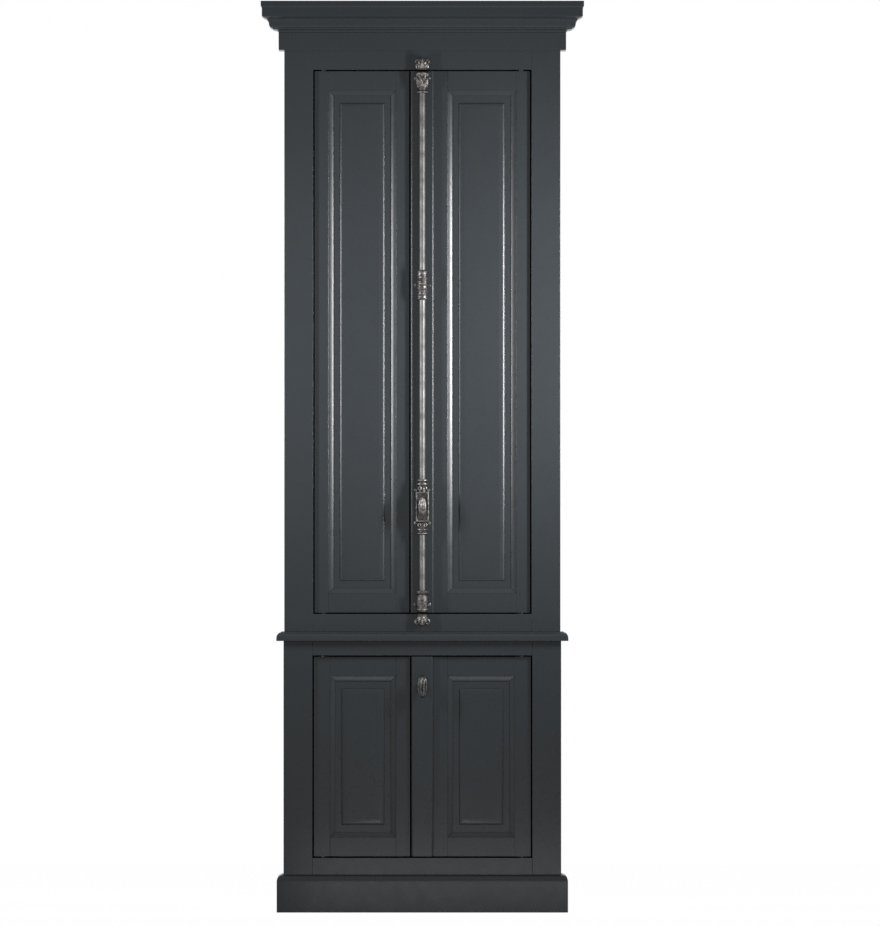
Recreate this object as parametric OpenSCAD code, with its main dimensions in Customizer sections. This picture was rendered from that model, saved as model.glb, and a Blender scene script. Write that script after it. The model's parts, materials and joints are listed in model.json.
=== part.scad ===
// A tall painted cupboard in two parts. A lower cupboard stands on a plinth, a waist board lies on it, and
// a taller upper cupboard with a frieze and a crown stands on that. Each has a pair of raised and fielded
// doors on pivot pins. The upper right door carries a cremone bolt, the lower right one a turn latch.
// Millimetres. +Z is up, the front faces -Y, and +X is on the viewer's right. The origin is in the middle
// of the footprint of the whole, at the floor.

/* [Carcass] */
// Width of the upper cupboard.
upper_w = 727; // [690:1:770]
// Depth of the upper cupboard, from its front frame to the back.
upper_d = 380; // [330:1:460]
// How far the lower cupboard stands out past the upper one at each side.
lower_side_step = 2; // [0:0.5:6]
// How far the lower cupboard stands out past the upper one in front.
lower_front_step = 12; // [4:0.5:20]
// Thickness of the side boards.
side_t = 18; // [15:0.5:24]
// Thickness of the top and bottom boards.
board_t = 18; // [15:0.5:24]
// Thickness of the back boards.
back_t = 8; // [6:0.5:14]
// Width of the stiles of the front frames.
stile_w = 76; // [70:0.5:84]

/* [Heights] */
// Height of the plinth.
plinth_h = 100; // [80:1:130]
// Height of the moulding on top of the plinth.
plinth_mould_h = 18; // [12:0.5:26]
// Height of the lower frame's bottom rail above the plinth.
lower_bottom_rail_h = 44; // [30:1:60]
// How far that rail runs down behind the plinth.
lower_rail_tuck = 40; // [20:1:60]
// Height of the lower door opening.
lower_opening_h = 533; // [480:1:600]
// Height of the lower frame's top rail.
lower_top_rail_h = 38; // [32:1:50]
// Thickness of the waist board.
waist_h = 24; // [20:0.5:32]
// Height of the upper frame's bottom rail.
upper_bottom_rail_h = 47; // [40:1:60]
// Height of the upper door opening.
upper_opening_h = 1433; // [1300:1:1500]
// Height of the upper frame's top rail that shows below the frieze.
top_rail_h = 52; // [44:1:64]
// Height of the frieze.
frieze_h = 47; // [36:1:60]

/* [Mouldings] */
// How far the plinth stands out.
plinth_out = 18; // [12:0.5:24]
// Ledge on top of the plinth moulding.
plinth_ledge = 4; // [2:0.5:6]
// How far the waist board stands out.
waist_out = 19; // [14:0.5:26]
// Height of the waist board's plain edge.
waist_edge_h = 8; // [5:0.5:11]
// How far the waist board's rounded edge runs back.
waist_round = 12; // [8:0.5:13]
// Height of the small step above the waist board's round.
waist_fillet_h = 2; // [1:0.5:4]
// How far the frieze stands out.
frieze_out = 15; // [10:0.5:20]
// How far the top of the crown stands out.
crown_out = 62; // [54:0.5:72]
// Height of the crown's top band.
crown_band_h = 13.5; // [10:0.5:18]
// Step under the top band.
crown_step = 3; // [1.5:0.5:5]
// Height of the slope under the top band.
crown_step_h = 3.5; // [2:0.5:6]
// Height of the crown's fascia.
crown_fascia_h = 23.5; // [16:0.5:30]
// Height of the bed mould under the fascia.
crown_bed_h = 31; // [24:0.5:40]
// How far the bed mould runs back.
crown_bed_run = 28.5; // [22:0.5:34]
// Height of the crown's lowest small band.
crown_foot_h = 3; // [2:0.5:5]
// Height of the cove between that band and the frieze.
crown_cove_h = 7.5; // [5:0.5:11]
// Thickness of the crown behind the body's face.
crown_back = 18; // [15:0.5:24]

/* [Doors] */
// Thickness of the doors.
door_t = 22; // [20:0.5:26]
// How far the doors lie behind the front frame's face.
door_recess = 12; // [9:0.5:15]
// Gap between a door and the frame.
door_gap = 3.2; // [3:0.1:4.5]
// Gap between the two doors of a pair.
meeting_gap = 3; // [2.5:0.1:4.5]
// Gap between a closed door and the batten that stops it.
stop_gap = 0.5; // [0.3:0.1:1]
// Plain width of an upper hinge stile.
upper_hinge_stile = 37; // [35:0.5:44]
// Plain width of an upper meeting stile beside the strip.
upper_meet_stile = 35; // [30:0.5:42]
// Plain width of a lower hinge stile.
lower_hinge_stile = 43; // [36:0.5:48]
// Plain width of a lower meeting stile beside the strip.
lower_meet_stile = 37.5; // [30:0.5:44]
// Plain width of the door rails.
door_rail = 51; // [44:0.5:60]
// Width of the rounded slope round the inside of a door frame.
stick_w = 13.5; // [11:0.5:16]
// Depth of that slope's inner edge behind the door's face.
stick_depth = 6.75; // [5:0.25:7.5]
// Small step where the slope starts.
stick_quirk = 1; // [0.75:0.25:1.5]
// Width of the flat margin at the sides of a panel's field.
margin_w = 17.5; // [14:0.5:20]
// Width of the flat margin above and below the field.
margin_end = 20; // [16:0.5:24]
// Width of the moulded edge round the field.
bevel_w = 15.5; // [13:0.5:18]
// How far the field stands above the margin.
bevel_rise = 6; // [4:0.25:6.5]
// How far the margin lies behind the door's face.
margin_depth = 8.5; // [8:0.25:9]
// Thickness of a panel's edge in its groove.
panel_edge_t = 6; // [5:0.5:8]
// Depth of the groove.
groove_depth = 8; // [6:0.5:10]
// Play left for the panel in the groove.
panel_play = 1; // [0.5:0.25:2]
// Thickness of the tenons.
tenon_t = 7; // [6:0.5:9]
// Length of the tenons.
tenon_l = 28; // [20:0.5:32]
// Shoulder above and below a tenon.
tenon_shoulder = 8; // [6:0.5:12]

/* [Meeting strips] */
// Width of the upper strip.
upper_strip_w = 62; // [54:0.5:70]
// Width of the lower strip.
lower_strip_w = 58; // [50:0.5:66]
// Radius of the strips' rounded edges.
strip_round = 6; // [3:0.5:9]

/* [Pivots] */
// Distance from a door's hinge edge to its pivot.
pivot_inset = 24; // [21:0.5:25]
// Radius of the pivot pins.
pivot_r = 4; // [3:0.25:5]
// Radial clearance of the pins in their bushes.
pivot_fit = 0.08; // [0.05:0.01:0.09]
// Radial clearance of the pins in the wood behind the bushes.
pivot_relief = 0.6; // [0.4:0.1:1]
// Radius of the flanges on pins and bushes.
flange_r = 9; // [7.5:0.25:9.5]
// How far the flanges stand out into the door gap.
flange_proud = 1.5; // [1.2:0.05:1.5]
// How far they are let into the wood.
flange_sink = 3; // [2:0.25:4]
// Length of pin beyond the door.
pivot_l = 13; // [11:0.5:15]
// Free depth beyond the pin's end.
pivot_end_gap = 1; // [0.5:0.25:2]
// Length of the pin's dowel in the door.
dowel_l = 26; // [20:0.5:32]
// Height of the bush below its flange.
bush_l = 8; // [6:0.5:10]
// Radius of the bush below its flange.
bush_r = 6.5; // [6:0.25:7]

/* [Inside] */
// Thickness of the shelves.
shelf_t = 20; // [16:0.5:26]
// Play of a shelf at each end.
shelf_play = 1; // [0.5:0.25:2]
// Distance of the shelves' front edge behind the doors.
shelf_setback = 30; // [24:1:60]
// Number of shelves in the upper cupboard.
upper_shelf_count = 4; // [3:1:5]
// Radius of the shelf pins.
shelf_pin_r = 3.5; // [2.5:0.25:4]
// Depth of the shelf pins in the sides.
shelf_pin_in = 11; // [9:0.5:13]
// Length of the shelf pins under the shelf.
shelf_pin_out = 11; // [8:0.5:14]
// Distance of the shelf pins from a shelf's front and back edge.
shelf_pin_inset = 45; // [35:1:60]
// Thickness of the stop battens.
batten_t = 18; // [14:0.5:22]
// Height of the stop battens.
batten_h = 38; // [34:0.5:44]
// How far the battens reach down behind the doors.
batten_lap = 20; // [18:0.5:24]
// Half the length of the battens.
batten_half = 225; // [180:1:235]
// Radius of the catch magnets and discs.
catch_r = 6.5; // [5:0.25:7.5]
// Length of the magnets.
magnet_l = 10; // [7:0.5:13]
// Thickness of the steel discs.
catch_disc_t = 2; // [1.5:0.25:3]
// Distance of the catches from the door's top edge.
catch_drop = 10; // [9:0.5:10.5]
// Distance of the catches from the middle line.
catch_x = 62; // [56:1:80]

/* [Cremone bolt] */
// Radius of the rods.
rod_r = 8; // [7:0.25:8.5]
// Distance of the rods in front of the strip.
rod_stand = 1; // [0.8:0.1:2]
// Radial clearance of the rods in their guides.
rod_fit = 0.09; // [0.05:0.01:0.1]
// Height of the knob above the floor of the upper cupboard's opening.
bolt_knob_rise = 282; // [240:1:340]
// Half the height of the case with its necks.
case_half = 72.5; // [70:0.5:80]
// Half the height of the case's body.
case_body_half = 39; // [39:0.5:44]
// Width of the case's body.
case_w = 34; // [33.5:0.5:38]
// Depth of the case's body.
case_d = 25; // [24:0.5:28]
// Thickness of the case's wall.
case_wall = 2.2; // [1.8:0.1:2.3]
// Radius of the sleeves round the rods.
sleeve_r = 13; // [12.5:0.25:13.5]
// Radius of the case's necks.
neck_r = 11; // [10.5:0.25:12]
// Radius of the beads on the sleeves.
bead_r = 2; // [1.5:0.1:2]
// Height of the top guide.
top_guide_h = 57; // [50:0.5:64]
// Height of the middle guide.
middle_guide_h = 78; // [70:0.5:86]
// Height of the middle guide's centre above the case's centre.
middle_guide_rise = 584; // [540:1:620]
// Height of the bottom guide.
bottom_guide_h = 56; // [50:0.5:62]
// Radius of the screw ears.
ear_r = 4.5; // [4.25:0.25:5]
// Distance of the screw ears from the rod's middle line.
ear_x = 17.5; // [17.25:0.25:18.5]
// Thickness of the screw ears.
ear_t = 6; // [4:0.5:8]
// Width of the keepers.
keeper_w = 42; // [41:0.5:46]
// Height of the keepers.
keeper_h = 30; // [29:0.5:34]
// Radius of the keepers' screw ears.
keeper_ear_r = 5; // [4.5:0.25:5.5]
// Wall of the keepers in front of the rod.
keeper_wall = 3; // [2.5:0.25:3.5]
// Clearance of the rod's end in its keeper.
keeper_fit = 2; // [1.75:0.05:2.25]
// Length of the taper at the rod's end.
rod_taper_h = 7; // [5:0.5:9]
// Radius of the rod's tip, at the end of its taper.
rod_tip_r = 5.5; // [4.5:0.25:7]
// Depth of the keepers' pockets.
keeper_pocket = 20; // [18:0.5:22]
// Distance of a drawn-back rod's end inside the door's edge.
rod_end_gap = 2; // [1:0.25:3]
// Module of the pinion and racks.
gear_module = 1.25; // [1.2:0.01:1.3]
// Number of the pinion's teeth.
pinion_teeth = 12; // [12:2:12]
// Play between the teeth.
tooth_play = 0.12; // [0.08:0.01:0.16]
// Width of the racks and the pinion along the spindle.
rack_w = 8; // [7:0.5:9]
// Thickness of a rack behind its teeth.
rack_back = 4; // [3.5:0.25:4.2]
// Length of a rack beyond the pinion's middle.
rack_reach = 16.5; // [16.3:0.1:17]
// Gap between a rack's end and the other rod.
rack_gap = 1.5; // [1:0.25:2]
// Height of the block that joins a rack to its rod.
rack_joint_h = 6; // [5:0.25:6.5]
// Radius of the spindle.
spindle_r = 5; // [4:0.25:5.25]
// Radial clearance of the spindles.
spindle_fit = 0.08; // [0.05:0.01:0.09]
// Depth of the spindle's seat in the strip.
spindle_seat = 6; // [4:0.5:8]
// Half the height of the oval knob.
bolt_knob_half = 27; // [24:0.5:30]
// Half the width of the oval knob.
bolt_knob_r = 11; // [9:0.5:13]
// Length of the knob's neck.
bolt_knob_neck = 6; // [4:0.5:9]

/* [Turn latch] */
// Distance of the latch's middle below the top of the lower opening.
latch_drop = 82; // [80:1:110]
// Half the height of the latch's knob.
latch_knob_half = 29.5; // [26:0.5:32]
// Half the width of the latch's knob.
latch_knob_r = 15; // [12:0.5:17]
// Length of the latch knob's neck.
latch_knob_neck = 8; // [5:0.5:11]
// Radius of the rose behind the knob.
rose_r = 13; // [11:0.5:16]
// Thickness of the rose.
rose_t = 4; // [3:0.5:6]
// Reach of the tongue from its spindle.
tongue_reach = 54; // [48:0.5:58]
// Tail of the tongue behind its spindle.
tongue_tail = 10; // [8:0.5:12]
// Width of the tongue.
tongue_w = 16; // [14:0.5:20]
// Thickness of the tongue.
tongue_t = 5; // [4:0.5:7]
// Gap between the tongue and the doors' backs.
tongue_gap = 1; // [0.6:0.1:2]

/* [Screws] */
// Radius of the screws' heads.
screw_head_r = 2.6; // [2.4:0.1:2.7]
// Thickness of the screws' heads.
screw_head_t = 1.8; // [1.2:0.1:2.4]
// Radius of the screws' shanks.
screw_r = 1.4; // [1.2:0.1:1.6]
// Length of the screws below the head.
screw_l = 15; // [11:0.5:16]
// Width of the screws' slots.
slot_w = 1; // [0.8:0.1:1.2]
// Depth of the screws' slots.
slot_depth = 0.9; // [0.6:0.1:1]

/* [Hidden] */
// Overrun of cutting shapes, so that no skin is left.
cut = 1;
$fn = 64;
olive_steps = 15;
round_steps = 7;

// Levels, from the floor up.
lower_open_z = plinth_h + lower_bottom_rail_h;
lower_rail_z = lower_open_z + lower_opening_h;
waist_z = lower_rail_z + lower_top_rail_h;
upper_z = waist_z + waist_h;
upper_open_z = upper_z + upper_bottom_rail_h;
upper_rail_z = upper_open_z + upper_opening_h;
frieze_z = upper_rail_z + top_rail_h;
crown_z = frieze_z + frieze_h;
crown_low_h = crown_bed_h + crown_foot_h + crown_cove_h;
crown_h = crown_low_h + crown_fascia_h + crown_step_h + crown_band_h;
total_h = crown_z + crown_h;

// Planes, from the front to the back. The crown's face and the back stand alike from the origin.
back_y = (upper_d + crown_out) / 2;
upper_front = back_y - upper_d;
lower_front = upper_front - lower_front_step;
frame_t = door_recess + door_t + stop_gap;
lower_w = upper_w + 2 * lower_side_step;

// Half widths of the openings between the stiles.
upper_half = upper_w / 2 - stile_w;
lower_half = lower_w / 2 - stile_w;

// The bolt.
strip_face = upper_front;
rod_y = strip_face - rod_stand - rod_r;
bolt_z = upper_open_z + bolt_knob_rise;
pitch_r = gear_module * pinion_teeth / 2;
tooth_pitch = gear_module * PI;
addendum = gear_module;
dedendum_share = 1.25;
dedendum = gear_module * dedendum_share;
// The racks' tips are cut low, so that they clear the roots of a pinion with few teeth.
rack_tip_share = 0.65;
rack_tip = gear_module * rack_tip_share;
rack_outer = pitch_r + dedendum + rack_back;
rod_start = rack_reach + rack_gap;
upper_door_low = upper_open_z + door_gap;
upper_door_high = upper_rail_z - door_gap;
case_front = strip_face - case_d;
bolt_knob_y = case_front - bolt_knob_neck - bolt_knob_r;
middle_guide_z = bolt_z + middle_guide_rise;

// The latch.
latch_z = lower_rail_z - latch_drop;
latch_knob_y = lower_front - rose_t - latch_knob_neck - latch_knob_r;
lower_door_back = lower_front + door_recess + door_t;

// Heights of the shelves' undersides.
upper_room = crown_z - board_t - upper_open_z;
upper_shelf_z = [for (i = [1:upper_shelf_count])
    upper_open_z + i * upper_room / (upper_shelf_count + 1) - shelf_t / 2];
lower_shelf_z = [lower_open_z + (lower_opening_h - shelf_t) / 2];

// A block between two opposite corners.
module block(low, high) {
    translate(low) cube(high - low);
}

// A section drawn in Y and Z, run along X.
module along_x(x0, x1, section) {
    translate([x0, 0, 0]) rotate([90, 0, 90]) linear_extrude(x1 - x0) polygon(section);
}

// A section drawn in X and Z, run along Y.
module along_y(y0, y1, section) {
    translate([0, y1, 0]) rotate([90, 0, 0]) linear_extrude(y1 - y0) polygon(section);
}

// A section drawn in X and Y, run along Z.
module along_z(z0, z1, section) {
    translate([0, 0, z0]) linear_extrude(z1 - z0) polygon(section);
}

// A round bar along Y.
module bar_y(x, z, y0, y1, r) {
    translate([x, y1, z]) rotate([90, 0, 0]) cylinder(h = y1 - y0, r = r);
}

// A round bar along X.
module bar_x(y, z, x0, x1, r) {
    translate([x0, y, z]) rotate([0, 90, 0]) cylinder(h = x1 - x0, r = r);
}

// A round bar along Z.
module bar_z(x, y, z0, z1, r) {
    translate([x, y, z0]) cylinder(h = z1 - z0, r = r);
}

// Profiles of the mouldings, as distance out from the body's face and height.
function quarter(centre, a, b, from, to) =
    [for (i = [0:round_steps])
        let (t = from + (to - from) * i / round_steps)
        [centre[0] + a * cos(t), centre[1] + b * sin(t)]];

plinth_profile = concat(
    [[0, 0], [plinth_out, 0]],
    quarter([plinth_ledge, plinth_h - plinth_mould_h],
            plinth_out - plinth_ledge, plinth_mould_h - stick_quirk, 0, 90),
    [[plinth_ledge, plinth_h], [0, plinth_h]]);

function waist_edge(inner) = concat(
    [[inner, waist_z], [waist_out, waist_z]],
    quarter([waist_out - waist_round, waist_z + waist_edge_h],
            waist_round, waist_h - waist_edge_h - waist_fillet_h, 0, 90),
    [[waist_out - waist_round, upper_z], [inner, upper_z]]);

fascia_out = crown_out - crown_step;
foot_out = fascia_out - crown_bed_run;
bed_top = crown_z + crown_low_h;
bed_low = bed_top - crown_bed_h;
// Corners of the bed mould above its ovolo, as shares of how far it runs back and of its height.
bed_shares = [[0.656, 0.323], [0.632, 0.558], [0.505, 0.648], [0.484, 0.777], [0.193, 0.906], [0, 1]];
ovolo_run = crown_bed_run * (1 - bed_shares[0][0]);
ovolo_h = crown_bed_h * bed_shares[0][1];
crown_profile = concat(
    [[-crown_back, crown_z], [frieze_out, crown_z]],
    [for (i = [1:round_steps])
        let (t = 90 * i / round_steps)
        [frieze_out + (foot_out - frieze_out) * (1 - cos(t)), crown_z + crown_cove_h * sin(t)]],
    quarter([foot_out, bed_low + ovolo_h], ovolo_run, ovolo_h, -90, 0),
    [for (i = [1:len(bed_shares) - 1])
        [fascia_out - crown_bed_run * bed_shares[i][0], bed_low + crown_bed_h * bed_shares[i][1]]],
    [[fascia_out, bed_top + crown_fascia_h],
     [crown_out, bed_top + crown_fascia_h + crown_step_h],
     [crown_out, total_h], [-crown_back, total_h]]);

frieze_profile = [[0, frieze_z], [frieze_out, frieze_z], [frieze_out, crown_z], [0, crown_z]];

// The zone of a front run, with 45 degree mitres at both ends.
module mitre_zone(w, front, reach, inset) {
    along_z(-cut, total_h + cut, [
        [-w / 2 - reach, front - reach], [w / 2 + reach, front - reach],
        [w / 2 - inset, front + inset], [-w / 2 + inset, front + inset]]);
}

// The front run of a moulding.
module front_run(profile, w, front, reach, inset) {
    intersection() {
        along_x(-w / 2 - reach, w / 2 + reach, [for (p = profile) [front - p[0], p[1]]]);
        mitre_zone(w, front, reach, inset);
    }
}

// The two side runs of a moulding.
module side_runs(profile, w, front, reach, inset) {
    for (side = [-1, 1])
        difference() {
            along_y(front - reach, back_y, [for (p = profile) [side * (w / 2 + p[0]), p[1]]]);
            mitre_zone(w, front, reach, inset);
        }
}

module plinth_front() {
    color("DimGray") front_run(plinth_profile, lower_w, lower_front, plinth_out, 0);
}

module plinth_returns() {
    color("SlateGray") side_runs(plinth_profile, lower_w, lower_front, plinth_out, 0);
}

module frieze_front() {
    color("DimGray") front_run(frieze_profile, upper_w, upper_front, frieze_out, 0);
}

module frieze_returns() {
    color("SlateGray") side_runs(frieze_profile, upper_w, upper_front, frieze_out, 0);
}

module crown_front() {
    color("Gray") front_run(crown_profile, upper_w, upper_front, crown_out, crown_back);
}

module crown_returns() {
    color("LightSlateGray") side_runs(crown_profile, upper_w, upper_front, crown_out, crown_back);
}

module waist_board() {
    half = lower_w / 2;
    edge = waist_edge(0);
    color("Gray") intersection() {
        along_x(-half - waist_out, half + waist_out, concat(
            [[back_y, upper_z], [back_y, waist_z]],
            [for (p = waist_edge(-half)) if (p[0] > 0) [lower_front - p[0], p[1]]]));
        along_y(lower_front - waist_out, back_y, concat(
            [for (p = edge) if (p[0] > 0) [half + p[0], p[1]]],
            [for (i = [len(edge) - 1:-1:0]) if (edge[i][0] > 0) [-half - edge[i][0], edge[i][1]]]));
    }
}

// Side boards, with holes for the shelf pins.
module side_boards(w, front, z0, z1, shelf_list) {
    for (side = [-1, 1])
        difference() {
            block([min(side * w / 2, side * (w / 2 - side_t)), front + frame_t, z0],
                  [max(side * w / 2, side * (w / 2 - side_t)), back_y, z1]);
            pin_row(w, front, shelf_list, side);
        }
}

// The pins that one side holds.
module pin_row(w, front, shelf_list, side) {
    inner = w / 2 - side_t;
    x0 = min(side * (inner + shelf_pin_in), side * (inner - shelf_pin_out));
    x1 = max(side * (inner + shelf_pin_in), side * (inner - shelf_pin_out));
    for (z = shelf_list)
        for (y = [front + frame_t + shelf_setback + shelf_pin_inset, back_y - back_t - shelf_pin_inset])
            bar_x(y, z - shelf_pin_r, x0, x1, shelf_pin_r);
}

module lower_sides() {
    color("SlateGray") side_boards(lower_w, lower_front, 0, waist_z, lower_shelf_z);
}

module upper_sides() {
    color("SlateGray") side_boards(upper_w, upper_front, upper_z, crown_z, upper_shelf_z);
}

module shelf_pins() {
    color("Goldenrod")
    for (side = [-1, 1]) {
        pin_row(lower_w, lower_front, lower_shelf_z, side);
        pin_row(upper_w, upper_front, upper_shelf_z, side);
    }
}

// A board between the sides.
module inner_board(w, front, z0) {
    inner = w / 2 - side_t;
    block([-inner, front + frame_t, z0], [inner, back_y - back_t, z0 + board_t]);
}

module lower_bottom_board() {
    color("Tan") inner_board(lower_w, lower_front, lower_open_z - board_t);
}

module upper_bottom_board() {
    color("Tan") inner_board(upper_w, upper_front, upper_open_z - board_t);
}

module upper_top_board() {
    color("Tan") inner_board(upper_w, upper_front, crown_z - board_t);
}

module lower_back() {
    inner = lower_w / 2 - side_t;
    color("BurlyWood") block([-inner, back_y - back_t, 0], [inner, back_y, waist_z]);
}

module upper_back() {
    inner = upper_w / 2 - side_t;
    color("BurlyWood") block([-inner, back_y - back_t, upper_z], [inner, back_y, crown_z]);
}

// Shelves that lie on their pins.
module shelf_boards(w, front, shelf_list) {
    inner = w / 2 - side_t - shelf_play;
    for (z = shelf_list)
        block([-inner, front + frame_t + shelf_setback, z], [inner, back_y - back_t, z + shelf_t]);
}

module lower_shelf() {
    color("Wheat") shelf_boards(lower_w, lower_front, lower_shelf_z);
}

module upper_shelves() {
    color("Wheat") shelf_boards(upper_w, upper_front, upper_shelf_z);
}

// Tenons of a front frame's rail.
module frame_tenons(half, front, z0, z1) {
    middle = front + frame_t / 2;
    for (side = [-1, 1])
        block([min(side * half, side * (half + tenon_l)), middle - tenon_t / 2, z0 + tenon_shoulder],
              [max(side * half, side * (half + tenon_l)), middle + tenon_t / 2, z1 - tenon_shoulder]);
}

// A rail of a front frame with its tenons.
module frame_rail(half, front, z0, z1) {
    block([-half, front, z0], [half, front + frame_t, z1]);
    frame_tenons(half, front, z0, z1);
}

// The seats in a frame's rails for the pivot bushes and pins.
module pivot_seats(half, front, z0, z1) {
    for (side = [-1, 1])
        for (end = [[z0, 1], [z1, -1]])
            translate([side * (half - door_gap - pivot_inset), pivot_y(front), end[0]])
                mirror([0, 0, end[1] > 0 ? 1 : 0])
                    union() {
                        cylinder(h = flange_sink, r = flange_r);
                        cylinder(h = flange_sink + bush_l, r = bush_r);
                        cylinder(h = pivot_l + pivot_end_gap, r = pivot_r + pivot_relief);
                    }
}

function pivot_y(front) = front + door_recess + door_t / 2;

module lower_stiles() {
    color("DarkSlateGray") frame_stiles(lower_w, lower_half, lower_front, 0, waist_z,
        [[plinth_h - lower_rail_tuck, lower_open_z], [lower_rail_z, waist_z]]);
}

module upper_stiles() {
    color("DarkSlateGray") frame_stiles(upper_w, upper_half, upper_front, upper_z, crown_z,
        [[upper_z, upper_open_z], [upper_rail_z, crown_z]]);
}

// The stiles of a front frame, mortised for the rails.
module frame_stiles(w, half, front, z0, z1, rail_list) {
    difference() {
        for (side = [-1, 1])
            block([min(side * w / 2, side * half), front, z0],
                  [max(side * w / 2, side * half), front + frame_t, z1]);
        for (r = rail_list)
            frame_tenons(half, front, r[0], r[1]);
    }
}

module lower_rails() {
    color("SlateGray") difference() {
        union() {
            frame_rail(lower_half, lower_front, plinth_h - lower_rail_tuck, lower_open_z);
            frame_rail(lower_half, lower_front, lower_rail_z, waist_z);
        }
        pivot_seats(lower_half, lower_front, lower_open_z, lower_rail_z);
    }
}

module upper_rails() {
    color("SlateGray") difference() {
        union() {
            frame_rail(upper_half, upper_front, upper_z, upper_open_z);
            frame_rail(upper_half, upper_front, upper_rail_z, crown_z);
        }
        pivot_seats(upper_half, upper_front, upper_open_z, upper_rail_z);
        keeper_screw_holes();
    }
}

// One pivot bush with its mouth up, drawn from the rail's edge.
module bush() {
    difference() {
        union() {
            translate([0, 0, -flange_sink]) cylinder(h = flange_sink + flange_proud, r = flange_r);
            translate([0, 0, -flange_sink - bush_l]) cylinder(h = bush_l + flange_sink, r = bush_r);
        }
        translate([0, 0, -flange_sink - bush_l - cut])
            cylinder(h = flange_sink + bush_l + flange_proud + 2 * cut, r = pivot_r + pivot_fit);
    }
}

module pivot_bushes(half, front, z0, z1) {
    for (side = [-1, 1]) {
        translate([side * (half - door_gap - pivot_inset), pivot_y(front), z0]) bush();
        translate([side * (half - door_gap - pivot_inset), pivot_y(front), z1]) mirror([0, 0, 1]) bush();
    }
}

module upper_pivot_bushes() {
    color("DarkGoldenrod") pivot_bushes(upper_half, upper_front, upper_open_z, upper_rail_z);
}

module lower_pivot_bushes() {
    color("DarkGoldenrod") pivot_bushes(lower_half, lower_front, lower_open_z, lower_rail_z);
}

// One pivot pin that points down, drawn from the door's edge: dowel, flange and pin.
module pin_down() {
    cylinder(h = dowel_l, r = pivot_r);
    translate([0, 0, -flange_proud]) cylinder(h = flange_sink + flange_proud, r = flange_r);
    translate([0, 0, -pivot_l]) cylinder(h = pivot_l, r = pivot_r);
}

// The two pins of a door at its pivot line.
module door_pins(side, half, front, z0, z1) {
    x = side * (half - door_gap - pivot_inset);
    translate([x, pivot_y(front), z0 + door_gap]) pin_down();
    translate([x, pivot_y(front), z1 - door_gap]) mirror([0, 0, 1]) pin_down();
}

module pivot_pins_upper_left() {
    color("Silver") door_pins(-1, upper_half, upper_front, upper_open_z, upper_rail_z);
}

module pivot_pins_upper_right() {
    color("Silver") door_pins(1, upper_half, upper_front, upper_open_z, upper_rail_z);
}

module pivot_pins_lower_left() {
    color("Silver") door_pins(-1, lower_half, lower_front, lower_open_z, lower_rail_z);
}

module pivot_pins_lower_right() {
    color("Silver") door_pins(1, lower_half, lower_front, lower_open_z, lower_rail_z);
}

// Each door's outline and the plain widths of its two stiles: [x0, x1, left stile, right stile].
function left_leaf(half, strip_w, hinge, meet) =
    [-half + door_gap, -strip_w / 2 - meeting_gap, hinge, meet];
function right_leaf(half, strip_w, hinge, meet) =
    [-strip_w / 2, half - door_gap, strip_w + meet, hinge];

upper_left = left_leaf(upper_half, upper_strip_w, upper_hinge_stile, upper_meet_stile);
upper_right = right_leaf(upper_half, upper_strip_w, upper_hinge_stile, upper_meet_stile);
lower_left = left_leaf(lower_half, lower_strip_w, lower_hinge_stile, lower_meet_stile);
lower_right = right_leaf(lower_half, lower_strip_w, lower_hinge_stile, lower_meet_stile);

upper_door_z = [upper_door_low, upper_door_high];
lower_door_z = [lower_open_z + door_gap, lower_rail_z - door_gap];

// Shoulder lines and inner edges of a door frame: [shoulders in X, shoulders in Z].
function shoulders_x(leaf) = [leaf[0] + leaf[2], leaf[1] - leaf[3]];
function shoulders_z(z) = [z[0] + door_rail, z[1] - door_rail];
function inner(shoulder) = [shoulder[0] + stick_w, shoulder[1] - stick_w];

// Depth of the sunk slope at a share of its width. It steepens towards the panel.
stick_start_share = 0.66;
function stick_fall(s) =
    stick_quirk + (stick_depth - stick_quirk) * s * (stick_start_share + (1 - stick_start_share) * s);

// Section of the hollow that cuts the slope on two facing members.
function stick_section(edge, face) = concat(
    [[edge[0] - stick_w, face - cut]],
    [for (i = [0:round_steps])
        let (s = i / round_steps)
        [edge[0] - stick_w * (1 - s), face + stick_fall(s)]],
    [for (i = [round_steps:-1:0])
        let (s = i / round_steps)
        [edge[1] + stick_w * (1 - s), face + stick_fall(s)]],
    [[edge[1] + stick_w, face - cut]]);

// A section for a run along X takes its points as Y and Z.
function turned_about(section) = [for (p = section) [p[1], p[0]]];

// A door frame in one piece, before it is parted into stiles and rails.
module door_ring(leaf, z, face) {
    xs = shoulders_x(leaf);
    zs = shoulders_z(z);
    xi = inner(xs);
    zi = inner(zs);
    difference() {
        block([leaf[0], face, z[0]], [leaf[1], face + door_t, z[1]]);
        block([xi[0], face - cut, zi[0]], [xi[1], face + door_t + cut, zi[1]]);
        intersection() {
            along_z(zs[0], zs[1], stick_section(xi, face));
            along_x(xs[0], xs[1], turned_about(stick_section(zi, face)));
        }
        block([xi[0] - groove_depth, face + margin_depth, zi[0] - groove_depth],
              [xi[1] + groove_depth, face + margin_depth + panel_edge_t, zi[1] + groove_depth]);
    }
}

// Tenons of a door's rails.
module door_tenons(leaf, z, face) {
    xs = shoulders_x(leaf);
    middle = face + margin_depth + panel_edge_t / 2;
    for (side = [0, 1])
        for (end = [z[0], z[1] - door_rail])
            block([side == 0 ? xs[0] - tenon_l : xs[1], middle - tenon_t / 2, end + tenon_shoulder],
                  [side == 0 ? xs[0] : xs[1] + tenon_l, middle + tenon_t / 2,
                   end + door_rail - tenon_shoulder]);
}

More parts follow.
